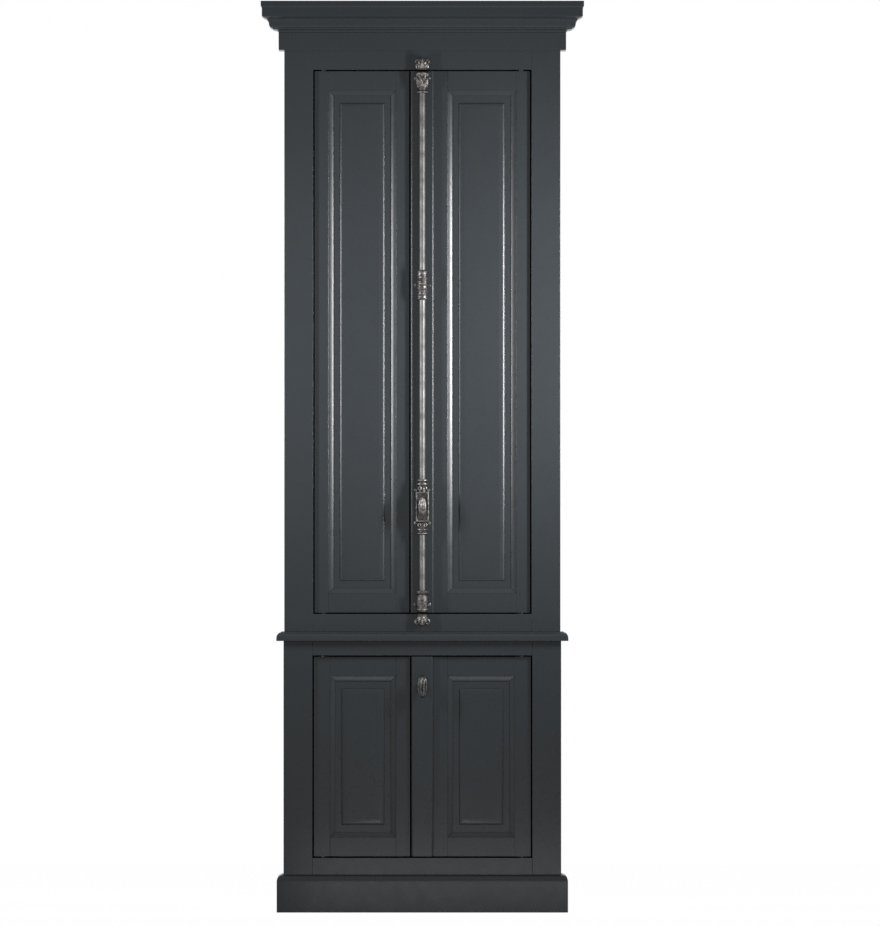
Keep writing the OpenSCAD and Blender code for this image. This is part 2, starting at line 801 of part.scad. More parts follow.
// Front outline of the two stiles, mitred along the ovolo.
module stile_zone(leaf, z, face) {
    xs = shoulders_x(leaf);
    zs = shoulders_z(z);
    xi = inner(xs);
    zi = inner(zs);
    edge = [leaf[0] - cut, leaf[1] + cut];
    for (side = [0, 1])
        along_y(face - cut, face + door_t + cut, [
            [edge[side], z[0] - cut], [xs[side], z[0] - cut], [xs[side], zs[0]], [xi[side], zi[0]],
            [xi[side], zi[1]], [xs[side], zs[1]], [xs[side], z[1] + cut], [edge[side], z[1] + cut]]);
}

module door_stiles(leaf, z, face) {
    difference() {
        intersection() {
            door_ring(leaf, z, face);
            stile_zone(leaf, z, face);
        }
        door_tenons(leaf, z, face);
    }
}

module door_rails(leaf, z, face) {
    difference() {
        door_ring(leaf, z, face);
        stile_zone(leaf, z, face);
    }
    door_tenons(leaf, z, face);
}

// Edge of a panel's field, as shares of its width and of its rise: a step, two slopes and a flat between.
field_shares = [[0, 0], [0, 0.16], [0.065, 0.36], [0.345, 0.7], [0.78, 0.76], [1, 1]];

// Section of a raised and fielded panel across one direction.
function panel_section(edge, face, margin) = concat(
    [[edge[0] - groove_depth + panel_play, face + margin_depth + panel_edge_t],
     [edge[0] - groove_depth + panel_play, face + margin_depth]],
    [for (p = field_shares) [edge[0] + margin + bevel_w * p[0], face + margin_depth - bevel_rise * p[1]]],
    [for (i = [len(field_shares) - 1:-1:0])
        let (p = field_shares[i])
        [edge[1] - margin - bevel_w * p[0], face + margin_depth - bevel_rise * p[1]]],
    [[edge[1] + groove_depth - panel_play, face + margin_depth],
     [edge[1] + groove_depth - panel_play, face + margin_depth + panel_edge_t]]);

module door_panel(leaf, z, face) {
    xi = inner(shoulders_x(leaf));
    zi = inner(shoulders_z(z));
    intersection() {
        along_z(zi[0] - groove_depth + panel_play, zi[1] + groove_depth - panel_play,
                panel_section(xi, face, margin_w));
        along_x(xi[0] - groove_depth + panel_play, xi[1] + groove_depth - panel_play,
                turned_about(panel_section(zi, face, margin_end)));
    }
}

upper_face = upper_front + door_recess;
lower_face = lower_front + door_recess;

// The holes for a door's pins.
module pin_holes(side, half, front, z0, z1) {
    x = side * (half - door_gap - pivot_inset);
    for (end = [[z0 + door_gap, 1], [z1 - door_gap, -1]])
        translate([x, pivot_y(front), end[0]])
            mirror([0, 0, end[1] > 0 ? 0 : 1])
                union() {
                    cylinder(h = dowel_l, r = pivot_r);
                    cylinder(h = flange_sink, r = flange_r);
                }
}

module upper_left_stiles() {
    color("SteelBlue") difference() {
        door_stiles(upper_left, upper_door_z, upper_face);
        pin_holes(-1, upper_half, upper_front, upper_open_z, upper_rail_z);
        catch_disc(upper_front, upper_door_high);
    }
}

module upper_left_rails() {
    color("CadetBlue") difference() {
        door_rails(upper_left, upper_door_z, upper_face);
        pin_holes(-1, upper_half, upper_front, upper_open_z, upper_rail_z);
    }
}

module upper_left_panel() {
    color("LightSteelBlue") door_panel(upper_left, upper_door_z, upper_face);
}

module upper_right_stiles() {
    color("SteelBlue") difference() {
        door_stiles(upper_right, upper_door_z, upper_face);
        pin_holes(1, upper_half, upper_front, upper_open_z, upper_rail_z);
        bolt_screw_set();
    }
}

module upper_right_rails() {
    color("CadetBlue") difference() {
        door_rails(upper_right, upper_door_z, upper_face);
        pin_holes(1, upper_half, upper_front, upper_open_z, upper_rail_z);
        bolt_screw_set();
    }
}

module upper_right_panel() {
    color("LightSteelBlue") door_panel(upper_right, upper_door_z, upper_face);
}

module lower_left_stiles() {
    color("SteelBlue") difference() {
        door_stiles(lower_left, lower_door_z, lower_face);
        pin_holes(-1, lower_half, lower_front, lower_open_z, lower_rail_z);
        catch_disc(lower_front, lower_door_z[1]);
    }
}

module lower_left_rails() {
    color("CadetBlue") difference() {
        door_rails(lower_left, lower_door_z, lower_face);
        pin_holes(-1, lower_half, lower_front, lower_open_z, lower_rail_z);
    }
}

module lower_left_panel() {
    color("LightSteelBlue") door_panel(lower_left, lower_door_z, lower_face);
}

module lower_right_stiles() {
    color("SteelBlue") difference() {
        door_stiles(lower_right, lower_door_z, lower_face);
        pin_holes(1, lower_half, lower_front, lower_open_z, lower_rail_z);
        bar_y(0, latch_z, lower_face - cut, lower_door_back + cut, spindle_r + spindle_fit);
    }
}

module lower_right_rails() {
    color("CadetBlue") difference() {
        door_rails(lower_right, lower_door_z, lower_face);
        pin_holes(1, lower_half, lower_front, lower_open_z, lower_rail_z);
    }
}

module lower_right_panel() {
    color("LightSteelBlue") door_panel(lower_right, lower_door_z, lower_face);
}

// Section of a meeting strip with rounded front edges.
function strip_section(w, front) = concat(
    [[-w / 2, front + door_recess]],
    [for (i = [0:round_steps])
        let (t = 90 * i / round_steps)
        [-w / 2 + strip_round * (1 - cos(t)), front + strip_round * (1 - sin(t))]],
    [for (i = [round_steps:-1:0])
        let (t = 90 * i / round_steps)
        [w / 2 - strip_round * (1 - cos(t)), front + strip_round * (1 - sin(t))]],
    [[w / 2, front + door_recess]]);

module upper_strip() {
    color("RoyalBlue") difference() {
        along_z(upper_door_z[0], upper_door_z[1], strip_section(upper_strip_w, upper_front));
        bar_y(0, bolt_z, strip_face - cut, strip_face + spindle_seat, spindle_r + spindle_fit);
        bolt_screw_set();
    }
}

module lower_strip() {
    color("RoyalBlue") difference() {
        along_z(lower_door_z[0], lower_door_z[1], strip_section(lower_strip_w, lower_front));
        bar_y(0, latch_z, lower_front - cut, lower_face + cut, spindle_r + spindle_fit);
    }
}

// A stop batten behind the top of a pair of doors, with the seat of its magnet.
module batten(front, door_top) {
    z1 = door_top - batten_lap + batten_h;
    difference() {
        block([-batten_half, front + frame_t, door_top - batten_lap],
              [batten_half, front + frame_t + batten_t, z1]);
        magnet(front, door_top);
    }
}

module magnet(front, door_top) {
    bar_y(-catch_x, door_top - catch_drop, front + frame_t, front + frame_t + magnet_l, catch_r);
}

// A steel disc let into the back of a door.
module catch_disc(front, door_top) {
    back = front + door_recess + door_t;
    bar_y(-catch_x, door_top - catch_drop, back - catch_disc_t, back, catch_r);
}

module stop_battens() {
    color("Peru") union() {
        batten(upper_front, upper_door_high);
        batten(lower_front, lower_door_z[1]);
    }
}

module catch_magnets() {
    color("Black") union() {
        magnet(upper_front, upper_door_high);
        magnet(lower_front, lower_door_z[1]);
    }
}

module catch_disc_upper() {
    color("Silver") catch_disc(upper_front, upper_door_high);
}

module catch_disc_lower() {
    color("Silver") catch_disc(lower_front, lower_door_z[1]);
}

// A sleeve round a rod with turned beads. Shares give the beads' heights.
module sleeve(z0, z1, bead_shares, r) {
    bar_z(0, rod_y, z0, z1, r);
    for (s = bead_shares)
        translate([0, rod_y, z0 + (z1 - z0) * s])
            rotate_extrude() translate([r, 0]) circle(r = bead_r);
}

// A turned guide round a rod. Each pair is a share of its height and of the sleeve's radius.
module turned(z0, z1, shares) {
    translate([0, rod_y, z0]) rotate_extrude() polygon(concat(
        [[0, 0]], [for (p = shares) [sleeve_r * p[1], (z1 - z0) * p[0]]], [[0, z1 - z0]]));
}

// Everything in front of the strip that a rod's bore leaves.
module cast(z0, z1) {
    difference() {
        intersection() {
            children();
            block([-keeper_w, strip_face - 2 * keeper_w, z0], [keeper_w, strip_face, z1]);
        }
        bar_z(0, rod_y, z0 - cut, z1 + cut, rod_r + rod_fit);
        bolt_screw_shanks();
    }
}

// A pair of screw ears on one lug.
lug_share = 0.8;
module ears(z) {
    for (side = [-1, 1])
        bar_y(side * ear_x, z, strip_face - ear_t, strip_face, ear_r);
    block([-ear_x, strip_face - ear_t, z - ear_r * lug_share], [ear_x, strip_face, z + ear_r * lug_share]);
}

// Outlines, heights of the beads and heights of the screw ears on the bolt.
top_guide_shares = [
    [0, 0.96], [0.03, 1.06], [0.11, 1.06], [0.14, 0.96], [0.16, 0.82], [0.24, 0.82], [0.26, 1], [0.3, 1.07],
    [0.34, 1], [0.5, 1.06], [0.65, 1.12], [0.8, 1.14], [0.86, 1.3], [0.92, 1.4], [0.97, 1.36], [1, 1.2]];
bottom_guide_shares = [
    [0, 0.96], [0.04, 1.06], [0.12, 1.1], [0.34, 1.14], [0.5, 1.17], [0.6, 1.2], [0.7, 1.14], [0.78, 0.96],
    [0.82, 1], [0.85, 1.3], [0.89, 1.4], [0.95, 1.4], [1, 1.26]];
guide_bead_shares = [0.04, 0.17, 0.28, 0.38, 0.5, 0.62, 0.71, 0.82, 0.96];
neck_bead_shares = [0.62, 0.9];
top_ear_share = 0.7;
bottom_ear_share = 0.34;
top_guide_z = upper_door_high - rod_end_gap - top_guide_h;
bottom_guide_z = upper_door_low + rod_end_gap;
top_ear_z = top_guide_z + top_guide_h * top_ear_share;
bottom_ear_z = bottom_guide_z + bottom_guide_h * bottom_ear_share;
case_ear_z = case_body_half + ear_r;

module bolt_guide_top() {
    color("Orange") cast(top_guide_z, top_guide_z + top_guide_h) {
        union() {
            turned(top_guide_z, top_guide_z + top_guide_h, top_guide_shares);
            ears(top_ear_z);
        }
    }
}

module bolt_guide_middle() {
    z0 = middle_guide_z - middle_guide_h / 2;
    color("Orange") cast(z0, z0 + middle_guide_h) {
        union() {
            sleeve(z0, z0 + middle_guide_h, guide_bead_shares, sleeve_r);
            ears(middle_guide_z);
        }
    }
}

module bolt_guide_bottom() {
    color("Orange") cast(bottom_guide_z, bottom_guide_z + bottom_guide_h) {
        union() {
            turned(bottom_guide_z, bottom_guide_z + bottom_guide_h, bottom_guide_shares);
            ears(bottom_ear_z);
        }
    }
}

// The hollow case with a neck and a pair of ears at each end.
module bolt_case() {
    room = case_body_half - case_wall;
    color("DarkOrange") difference() {
        cast(bolt_z - case_half, bolt_z + case_half) {
            union() {
                block([-case_w / 2, case_front, bolt_z - case_body_half],
                      [case_w / 2, strip_face, bolt_z + case_body_half]);
                sleeve(bolt_z + case_body_half, bolt_z + case_half, neck_bead_shares, neck_r);
                translate([0, 0, 2 * bolt_z]) mirror([0, 0, 1])
                    sleeve(bolt_z + case_body_half, bolt_z + case_half, neck_bead_shares, neck_r);
                ears(bolt_z + case_ear_z);
                ears(bolt_z - case_ear_z);
            }
        }
        block([-case_w / 2 + case_wall, case_front + case_wall, bolt_z - room],
              [case_w / 2 - case_wall, strip_face + cut, bolt_z + room]);
        bar_y(0, bolt_z, case_front - cut, strip_face, spindle_r + spindle_fit);
    }
}

// A keeper on a rail: an arched hood with a square pocket for the rod's end. Its mouth is at z0, facing down.
ear_share = 0.66;
hood_half = rod_r + keeper_fit + keeper_wall;
hood_round_share = 1.22;
keeper_screw_x = keeper_w / 2 - keeper_ear_r;
module keeper(z0) {
    pocket_half = rod_r + keeper_fit;
    arch_z = z0 + keeper_h - hood_half;
    ear_z = z0 + keeper_h * ear_share;
    difference() {
        union() {
            intersection() {
                union() {
                    block([-hood_half, rod_y - hood_half, z0], [hood_half, strip_face, arch_z]);
                    bar_y(0, arch_z, rod_y - hood_half, strip_face, hood_half);
                }
                bar_z(0, rod_y, z0, z0 + keeper_h, hood_half * hood_round_share);
            }
            for (side = [-1, 1])
                bar_y(side * keeper_screw_x, ear_z, strip_face - ear_t, strip_face, keeper_ear_r);
            block([-keeper_screw_x, strip_face - ear_t, ear_z - keeper_ear_r * lug_share],
                  [keeper_screw_x, strip_face, ear_z + keeper_ear_r * lug_share]);
        }
        block([-pocket_half, rod_y - pocket_half, z0 - cut],
              [pocket_half, strip_face + cut, z0 + keeper_pocket]);
    }
}

module bolt_keeper_top() {
    color("Chocolate") difference() {
        keeper(upper_rail_z);
        bolt_screw_shanks();
    }
}

module bolt_keeper_bottom() {
    color("Chocolate") difference() {
        translate([0, 0, upper_open_z]) mirror([0, 0, 1]) keeper(0);
        bolt_screw_shanks();
    }
}

// Straight teeth of a rack that faces a pinion at the origin, from height z0 to z1.
flank = 20;
module rack(z0, z1) {
    half_tip = tooth_pitch / 4 - rack_tip * tan(flank) - tooth_play / 2;
    half_root = tooth_pitch / 4 + dedendum * tan(flank) - tooth_play / 2;
    root_x = pitch_r + dedendum;
    tip_x = pitch_r - rack_tip;
    block([root_x, -rack_w / 2, z0], [rack_outer, rack_w / 2, z1]);
    for (i = [ceil((z0 + half_root) / tooth_pitch):floor((z1 - half_root) / tooth_pitch)])
        along_y(-rack_w / 2, rack_w / 2, [
            [root_x + rack_back / 2, i * tooth_pitch - half_root], [root_x, i * tooth_pitch - half_root],
            [tip_x, i * tooth_pitch - half_tip], [tip_x, i * tooth_pitch + half_tip],
            [root_x, i * tooth_pitch + half_root], [root_x + rack_back / 2, i * tooth_pitch + half_root]]);
}

// A rod with its rack, drawn upwards from the pinion. Both rods are this, turned half round the spindle.
module racked_rod(top) {
    rack(-rack_reach, rod_start + rack_joint_h);
    block([-rod_r / 2, -rack_w / 2, rod_start], [rack_outer, rack_w / 2, rod_start + rack_joint_h]);
    rotate_extrude() polygon([
        [0, rod_start], [rod_r, rod_start], [rod_r, top - rod_taper_h], [rod_tip_r, top], [0, top]]);
}

module bolt_rod_top() {
    color("Gainsboro") translate([0, rod_y, bolt_z])
        racked_rod(upper_door_high - rod_end_gap - bolt_z);
}

module bolt_rod_bottom() {
    color("LightGray") translate([0, rod_y, bolt_z]) rotate([0, 180, 0])
        racked_rod(bolt_z - upper_door_low - rod_end_gap);
}

// Involute teeth of the pinion. The angle of a flank point follows from its radius.
base_r = pitch_r * cos(flank);
function involute(r) = sqrt(pow(r / base_r, 2) - 1) * 180 / PI - acos(base_r / r);
flank_share = [0, 0.25, 0.5, 0.75, 1];
module pinion_shape() {
    root_r = pitch_r - dedendum;
    tip_r = pitch_r + addendum;
    half_tooth = 90 / pinion_teeth - tooth_play / 2 / pitch_r * 180 / PI;
    low_r = max(base_r, root_r);
    function flank_angle(r) = half_tooth + involute(pitch_r) - involute(r);
    radii = [for (s = flank_share) low_r + (tip_r - low_r) * s];
    union() {
        circle(r = root_r);
        for (i = [0:pinion_teeth - 1])
            rotate((i + 0.5) * 360 / pinion_teeth)
                polygon(concat(
                    [[0, 0]],
                    [[root_r * cos(flank_angle(low_r)), -root_r * sin(flank_angle(low_r))]],
                    [for (r = radii) [r * cos(flank_angle(r)), -r * sin(flank_angle(r))]],
                    [for (k = [len(radii) - 1:-1:0])
                        [radii[k] * cos(flank_angle(radii[k])), radii[k] * sin(flank_angle(radii[k]))]],
                    [[root_r * cos(flank_angle(low_r)), root_r * sin(flank_angle(low_r))]]));
    }
}

module bolt_pinion() {
    color("Khaki") difference() {
        translate([0, rod_y + rack_w / 2, bolt_z]) rotate([90, 0, 0])
            linear_extrude(rack_w) pinion_shape();
        bar_y(0, bolt_z, rod_y - rack_w, rod_y + rack_w, spindle_r);
    }
}

// An olive-shaped knob that stands upright.
module olive(half, r) {
    rotate_extrude() polygon(concat(
        [[0, -half]],
        [for (i = [1:olive_steps - 1])
            let (t = 180 * i / olive_steps - 90)
            [r * cos(t), half * sin(t)]],
        [[0, half]]));
}

module bolt_knob() {
    color("Gold") union() {
        translate([0, bolt_knob_y, bolt_z]) olive(bolt_knob_half, bolt_knob_r);
        bar_y(0, bolt_z, bolt_knob_y + bolt_knob_r / 2, strip_face + spindle_seat - rod_stand, spindle_r);
    }
}

module latch_rose() {
    color("Orange") difference() {
        bar_y(0, latch_z, lower_front - rose_t, lower_front, rose_r);
        bar_y(0, latch_z, lower_front - rose_t - cut, lower_front + cut, spindle_r + spindle_fit);
    }
}

module latch_knob() {
    color("Gold") union() {
        translate([0, latch_knob_y, latch_z]) olive(latch_knob_half, latch_knob_r);
        bar_y(0, latch_z, latch_knob_y + latch_knob_r / 2, lower_door_back + tongue_gap + tongue_t, spindle_r);
    }
}

module latch_tongue() {
    y0 = lower_door_back + tongue_gap;
    color("Silver") difference() {
        union() {
            block([-tongue_w / 2, y0, latch_z], [tongue_w / 2, y0 + tongue_t, latch_z + tongue_reach]);
            block([-tongue_w / 2, y0, latch_z - tongue_tail], [tongue_w / 2, y0 + tongue_t, latch_z]);
        }
        bar_y(0, latch_z, y0 - cut, y0 + tongue_t + cut, spindle_r);
    }
}

// Every screw of the bolt: where it stands, and the face that its head lies on.
bolt_screw_places = [
    [ear_x, top_ear_z], [ear_x, middle_guide_z], [ear_x, bottom_ear_z],
    [ear_x, bolt_z + case_ear_z], [ear_x, bolt_z - case_ear_z]];
keeper_screw_places = [
    [keeper_screw_x, upper_rail_z + keeper_h * ear_share],
    [keeper_screw_x, upper_open_z - keeper_h * ear_share]];

// One round-headed slotted screw.
module screw(x, z) {
    face = strip_face - ear_t;
    difference() {
        union() {
            bar_y(x, z, face - screw_head_t, face, screw_head_r);
            bar_y(x, z, face - screw_head_t, face + screw_l, screw_r);
        }
        block([x - slot_w / 2, face - screw_head_t - cut, z - screw_head_r - cut],
              [x + slot_w / 2, face - screw_head_t + slot_depth, z + screw_head_r + cut]);
    }
}

module each_place(places) {
    for (p = places)
        for (side = [-1, 1])
            translate([side * p[0], 0, p[1]]) children();
}

module bolt_screw_shanks() {
    each_place(concat(bolt_screw_places, keeper_screw_places))
        bar_y(0, 0, strip_face - ear_t, strip_face - ear_t + screw_l, screw_r);
}

module bolt_screw_set() {
    each_place(bolt_screw_places)
        bar_y(0, 0, strip_face - ear_t, strip_face - ear_t + screw_l, screw_r);
}

module keeper_screw_holes() {
    each_place(keeper_screw_places)
        bar_y(0, 0, strip_face - ear_t, strip_face - ear_t + screw_l, screw_r);
}

module bolt_screws() {
    color("White") each_place(bolt_screw_places) screw(0, 0);
}

module keeper_screws() {
    color("White") each_place(keeper_screw_places) screw(0, 0);
}

plinth_front();
plinth_returns();
lower_sides();
lower_bottom_board();
lower_back();
lower_stiles();
lower_rails();
waist_board();
lower_shelf();
upper_sides();
upper_bottom_board();
upper_top_board();
upper_back();
upper_stiles();
upper_rails();
upper_shelves();
shelf_pins();
frieze_front();
frieze_returns();
crown_front();
crown_returns();
stop_battens();
catch_magnets();
upper_pivot_bushes();
lower_pivot_bushes();
bolt_keeper_top();
bolt_keeper_bottom();
keeper_screws();
upper_left_stiles();
upper_left_rails();
upper_left_panel();
pivot_pins_upper_left();
catch_disc_upper();
upper_right_stiles();
upper_right_rails();
upper_right_panel();
pivot_pins_upper_right();
upper_strip();
bolt_case();
bolt_guide_top();
bolt_guide_middle();
bolt_guide_bottom();
bolt_screws();
bolt_rod_top();
bolt_rod_bottom();
bolt_pinion();
bolt_knob();
lower_left_stiles();
lower_left_rails();
lower_left_panel();
pivot_pins_lower_left();
catch_disc_lower();
lower_right_stiles();
lower_right_rails();
lower_right_panel();
pivot_pins_lower_right();
lower_strip();
latch_rose();
latch_knob();
latch_tongue();
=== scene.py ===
# %% [markdown]
# # A tall painted cupboard with a cremone bolt
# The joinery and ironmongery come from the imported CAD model, which is loaded as a fixed frame. Blender
# adds what a drawing leaves out: eased arrises, brushed paint, the cast ornament of the bolt, and light.

# %% Load the frame
import json
import math

import bmesh
import bpy
from mathutils import Matrix, Vector


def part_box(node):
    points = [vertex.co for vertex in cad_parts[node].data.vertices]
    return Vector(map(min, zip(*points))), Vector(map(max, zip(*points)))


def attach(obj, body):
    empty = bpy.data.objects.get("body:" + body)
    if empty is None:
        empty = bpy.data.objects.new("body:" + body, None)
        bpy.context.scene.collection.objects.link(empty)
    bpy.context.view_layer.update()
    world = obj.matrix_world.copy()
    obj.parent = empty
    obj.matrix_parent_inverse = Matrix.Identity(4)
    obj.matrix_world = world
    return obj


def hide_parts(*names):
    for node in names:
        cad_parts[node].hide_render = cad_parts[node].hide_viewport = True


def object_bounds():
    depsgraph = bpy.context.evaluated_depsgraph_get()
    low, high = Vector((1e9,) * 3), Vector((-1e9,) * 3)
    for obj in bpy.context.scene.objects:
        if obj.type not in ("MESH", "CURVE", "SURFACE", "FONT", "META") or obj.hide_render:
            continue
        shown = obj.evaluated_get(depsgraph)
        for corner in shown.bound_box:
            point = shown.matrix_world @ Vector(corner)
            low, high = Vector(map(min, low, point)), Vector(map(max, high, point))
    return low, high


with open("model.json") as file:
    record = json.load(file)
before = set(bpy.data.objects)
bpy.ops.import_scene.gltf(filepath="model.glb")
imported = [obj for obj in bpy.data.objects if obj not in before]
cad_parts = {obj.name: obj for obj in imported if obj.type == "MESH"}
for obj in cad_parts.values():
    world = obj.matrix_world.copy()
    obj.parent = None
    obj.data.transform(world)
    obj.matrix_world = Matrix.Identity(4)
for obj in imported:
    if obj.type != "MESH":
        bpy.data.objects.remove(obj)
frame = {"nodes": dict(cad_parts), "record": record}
first_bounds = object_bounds()
body_of = {node: body for body, nodes in frame["record"]["behaviour"]["bodies"].items() for node in nodes}
MM = 0.001
print("CAD nodes:", len(frame["nodes"]), "size in m:", [round(b - a, 3) for a, b in zip(*first_bounds)])

# %% [markdown]
# ## The camera
# The photograph is a square-on view in which no side shows: the ends of the crown, the waist board and
# the plinth stand out as clean profiles. A camera near by would show the undersides of the crown's ends,
# so this one stands a hundred metres off, level with the middle of the picture, with a lens to match. The
# lens follows from the scale at the front, which is 2.633 mm of cupboard to each pixel.

# %% Set the camera
FRONT_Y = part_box("upper_stiles")[0][1]
PHOTO_W, PHOTO_H = 880, 926
MM_PER_PIXEL = 2.633
CENTRE_PIXEL = (422.35, 912.5)
DISTANCE = 100.0
SENSOR = 36.0
CLIP_END = 300

span_h = PHOTO_H * MM_PER_PIXEL * MM
eye_height = (CENTRE_PIXEL[1] - PHOTO_H / 2) * MM_PER_PIXEL * MM
side_offset = (PHOTO_W / 2 - CENTRE_PIXEL[0]) * MM_PER_PIXEL * MM
camera_data = bpy.data.cameras.new("camera")
camera_data.sensor_fit = "VERTICAL"
camera_data.sensor_height = SENSOR
camera_data.lens = SENSOR * DISTANCE / span_h
camera_data.clip_end = CLIP_END
camera = bpy.data.objects.new("camera", camera_data)
camera.location = (side_offset, FRONT_Y - DISTANCE, eye_height)
camera.rotation_euler = (math.radians(90), 0, 0)
bpy.context.scene.collection.objects.link(camera)
bpy.context.scene.camera = camera
print("lens %.0f mm at %.2f m above the floor" % (camera_data.lens, eye_height))

# %% [markdown]
# ## Light
# Two narrow upright lamps stand left and right, a step in front of the doors, the right one stronger, as
# windows at the sides of a room would be. So every upright moulding carries a bright line, strongest at
# shoulder height, while the flats between stay dark. A grid keeps the light from spreading up to the crown,
# and a low lamp gives back what a pale floor throws on the plinth. What the camera, and a mirror-like
# surface, see of the world is plain white, whatever light it gives.

# %% Make the world and the lamps
def add_node(tree, kind, settings=(), feeds=()):
    """Adds a node, sets its properties and sockets, and links its inputs."""
    node = tree.nodes.new(kind)
    for name, value in dict(settings).items():
        if isinstance(name, str) and hasattr(node, name):
            setattr(node, name, value)
        else:
            node.inputs[name].default_value = value
    for name, socket in dict(feeds).items():
        tree.links.new(socket, node.inputs[name])
    return node


def add_background_rays(tree):
    """One where a ray comes from the camera, a mirror-like surface or glass, and nothing elsewhere."""
    ray = add_node(tree, "ShaderNodeLightPath")
    seen = add_node(tree, "ShaderNodeMath", {"operation": "MAXIMUM"},
                    {0: ray.outputs["Is Camera Ray"], 1: ray.outputs["Is Glossy Ray"]})
    return add_node(tree, "ShaderNodeMath", {"operation": "MAXIMUM"},
                    {0: seen.outputs[0], 1: ray.outputs["Is Transmission Ray"]}).outputs[0]


WORLD_STRENGTH = 0.05
world = bpy.data.worlds.new("studio")
world.use_nodes = True
bpy.context.scene.world = world
tree = world.node_tree
tree.nodes.clear()
fill = add_node(tree, "ShaderNodeBackground", {"Color": (1, 1, 1, 1), "Strength": WORLD_STRENGTH})
white = add_node(tree, "ShaderNodeBackground", {"Color": (1, 1, 1, 1), "Strength": 1.0})
both = add_node(tree, "ShaderNodeMixShader",
                feeds={0: add_background_rays(tree), 1: fill.outputs[0], 2: white.outputs[0]})
add_node(tree, "ShaderNodeOutputWorld", feeds={"Surface": both.outputs[0]})


def add_softbox(name, place, aim, width, height, watts):
    """A rectangular lamp with a grid over it, which faces a point."""
    data = bpy.data.lights.new(name, "AREA")
    data.shape = "RECTANGLE"
    data.size = width
    data.size_y = height
    data.energy = watts
    data.spread = math.radians(GRID_DEG)
    lamp = bpy.data.objects.new(name, data)
    lamp.location = place
    lamp.rotation_euler = (Vector(aim) - Vector(place)).to_track_quat("-Z", "Y").to_euler()
    bpy.context.scene.collection.objects.link(lamp)
    return lamp


LAMP_HEIGHT = 1.53
LAMP_AHEAD = 0.92
LAMP_H = 0.75
GRID_DEG = 104
LEFT_OUT, LEFT_W, LEFT_WATTS = 1.3, 0.1, 10.7
RIGHT_OUT, RIGHT_W, RIGHT_WATTS = 1.1, 0.13, 18.8
for name, out, width, watts in (("softbox_left", -LEFT_OUT, LEFT_W, LEFT_WATTS),
                                ("softbox_right", RIGHT_OUT, RIGHT_W, RIGHT_WATTS)):
    add_softbox(name, (out, -LAMP_AHEAD, LAMP_HEIGHT), (0, FRONT_Y, LAMP_HEIGHT), width, LAMP_H, watts)
BOUNCE_PLACE, BOUNCE_AIM = (0.12, -0.66, 0.03), (0.12, -0.1, 0.42)
BOUNCE_W, BOUNCE_H, BOUNCE_WATTS = 0.9, 0.3, 0.95
bounce = add_softbox("floor_bounce", BOUNCE_PLACE, BOUNCE_AIM, BOUNCE_W, BOUNCE_H, BOUNCE_WATTS)
bounce.visible_camera = False

# %% [markdown]
# ## The floor
# A plain pale floor. The camera sees it almost as white as the backdrop, and it still darkens a little
# where the plinth shades it.

# %% Lay the floor
FLOOR_SIZE = 24.0
SHADE_SHARE = 0.3
GLOW = 1.4
FLOOR_DROP = 0.5 * MM
shape = bmesh.new()
bmesh.ops.create_grid(shape, x_segments=1, y_segments=1, size=FLOOR_SIZE / 2)
mesh = bpy.data.meshes.new("floor")
shape.to_mesh(mesh)
shape.free()
floor = bpy.data.objects.new("floor", mesh)
floor.location.z = first_bounds[0][2] - FLOOR_DROP
bpy.context.scene.collection.objects.link(floor)
floor_paint = bpy.data.materials.new("matt white floor")
floor_paint.use_nodes = True
tree = floor_paint.node_tree
tree.nodes.clear()
matt = add_node(tree, "ShaderNodeBsdfDiffuse", {"Color": (0.86, 0.86, 0.86, 1)})
glow = add_node(tree, "ShaderNodeEmission", {"Color": (1, 1, 1, 1), "Strength": GLOW})
seen = add_node(tree, "ShaderNodeMixShader", {0: SHADE_SHARE}, {1: glow.outputs[0], 2: matt.outputs[0]})
out = add_node(tree, "ShaderNodeMixShader",
               feeds={0: add_background_rays(tree), 1: matt.outputs[0], 2: seen.outputs[0]})
add_node(tree, "ShaderNodeOutputMaterial", feeds={"Surface": out.outputs[0]})
mesh.materials.append(floor_paint)
print("floor:", FLOOR_SIZE, "m square")

# %% [markdown]
# ## Colour and finish
# The joinery is brushed with a satin alkyd paint, a dark blue-grey. The brush leaves fine ridges along
# the grain, and the film lies a little unevenly, so the gloss wavers. Both run up the stiles and panels,
# and along the rails and mouldings, as a painter lays them off.

# %% Mix the paints
def linear(code):
    """An sRGB hex colour as linear RGBA."""
    parts = [int(code[i:i + 2], 16) / 255 for i in (1, 3, 5)]
    return tuple(p / 12.92 if p <= 0.04045 else ((p + 0.055) / 1.055) ** 2.4 for p in parts) + (1.0,)


def new_material(name):
    """An empty material with a Principled shader, as (material, tree, shader)."""
    material = bpy.data.materials.new(name)
    material.use_nodes = True
    tree = material.node_tree
    tree.nodes.clear()
    shader = add_node(tree, "ShaderNodeBsdfPrincipled")
    add_node(tree, "ShaderNodeOutputMaterial", feeds={"Surface": shader.outputs[0]})
    return material, tree, shader


PAINT_SHEEN = 0.26
BRISTLE_MM = 2.6
STROKE_STRETCH = 60
CLOUD_MM = 190
SAG_MM = 28
SAG_DEPTH_MM = 0.25
RIDGE_MM = 0.05


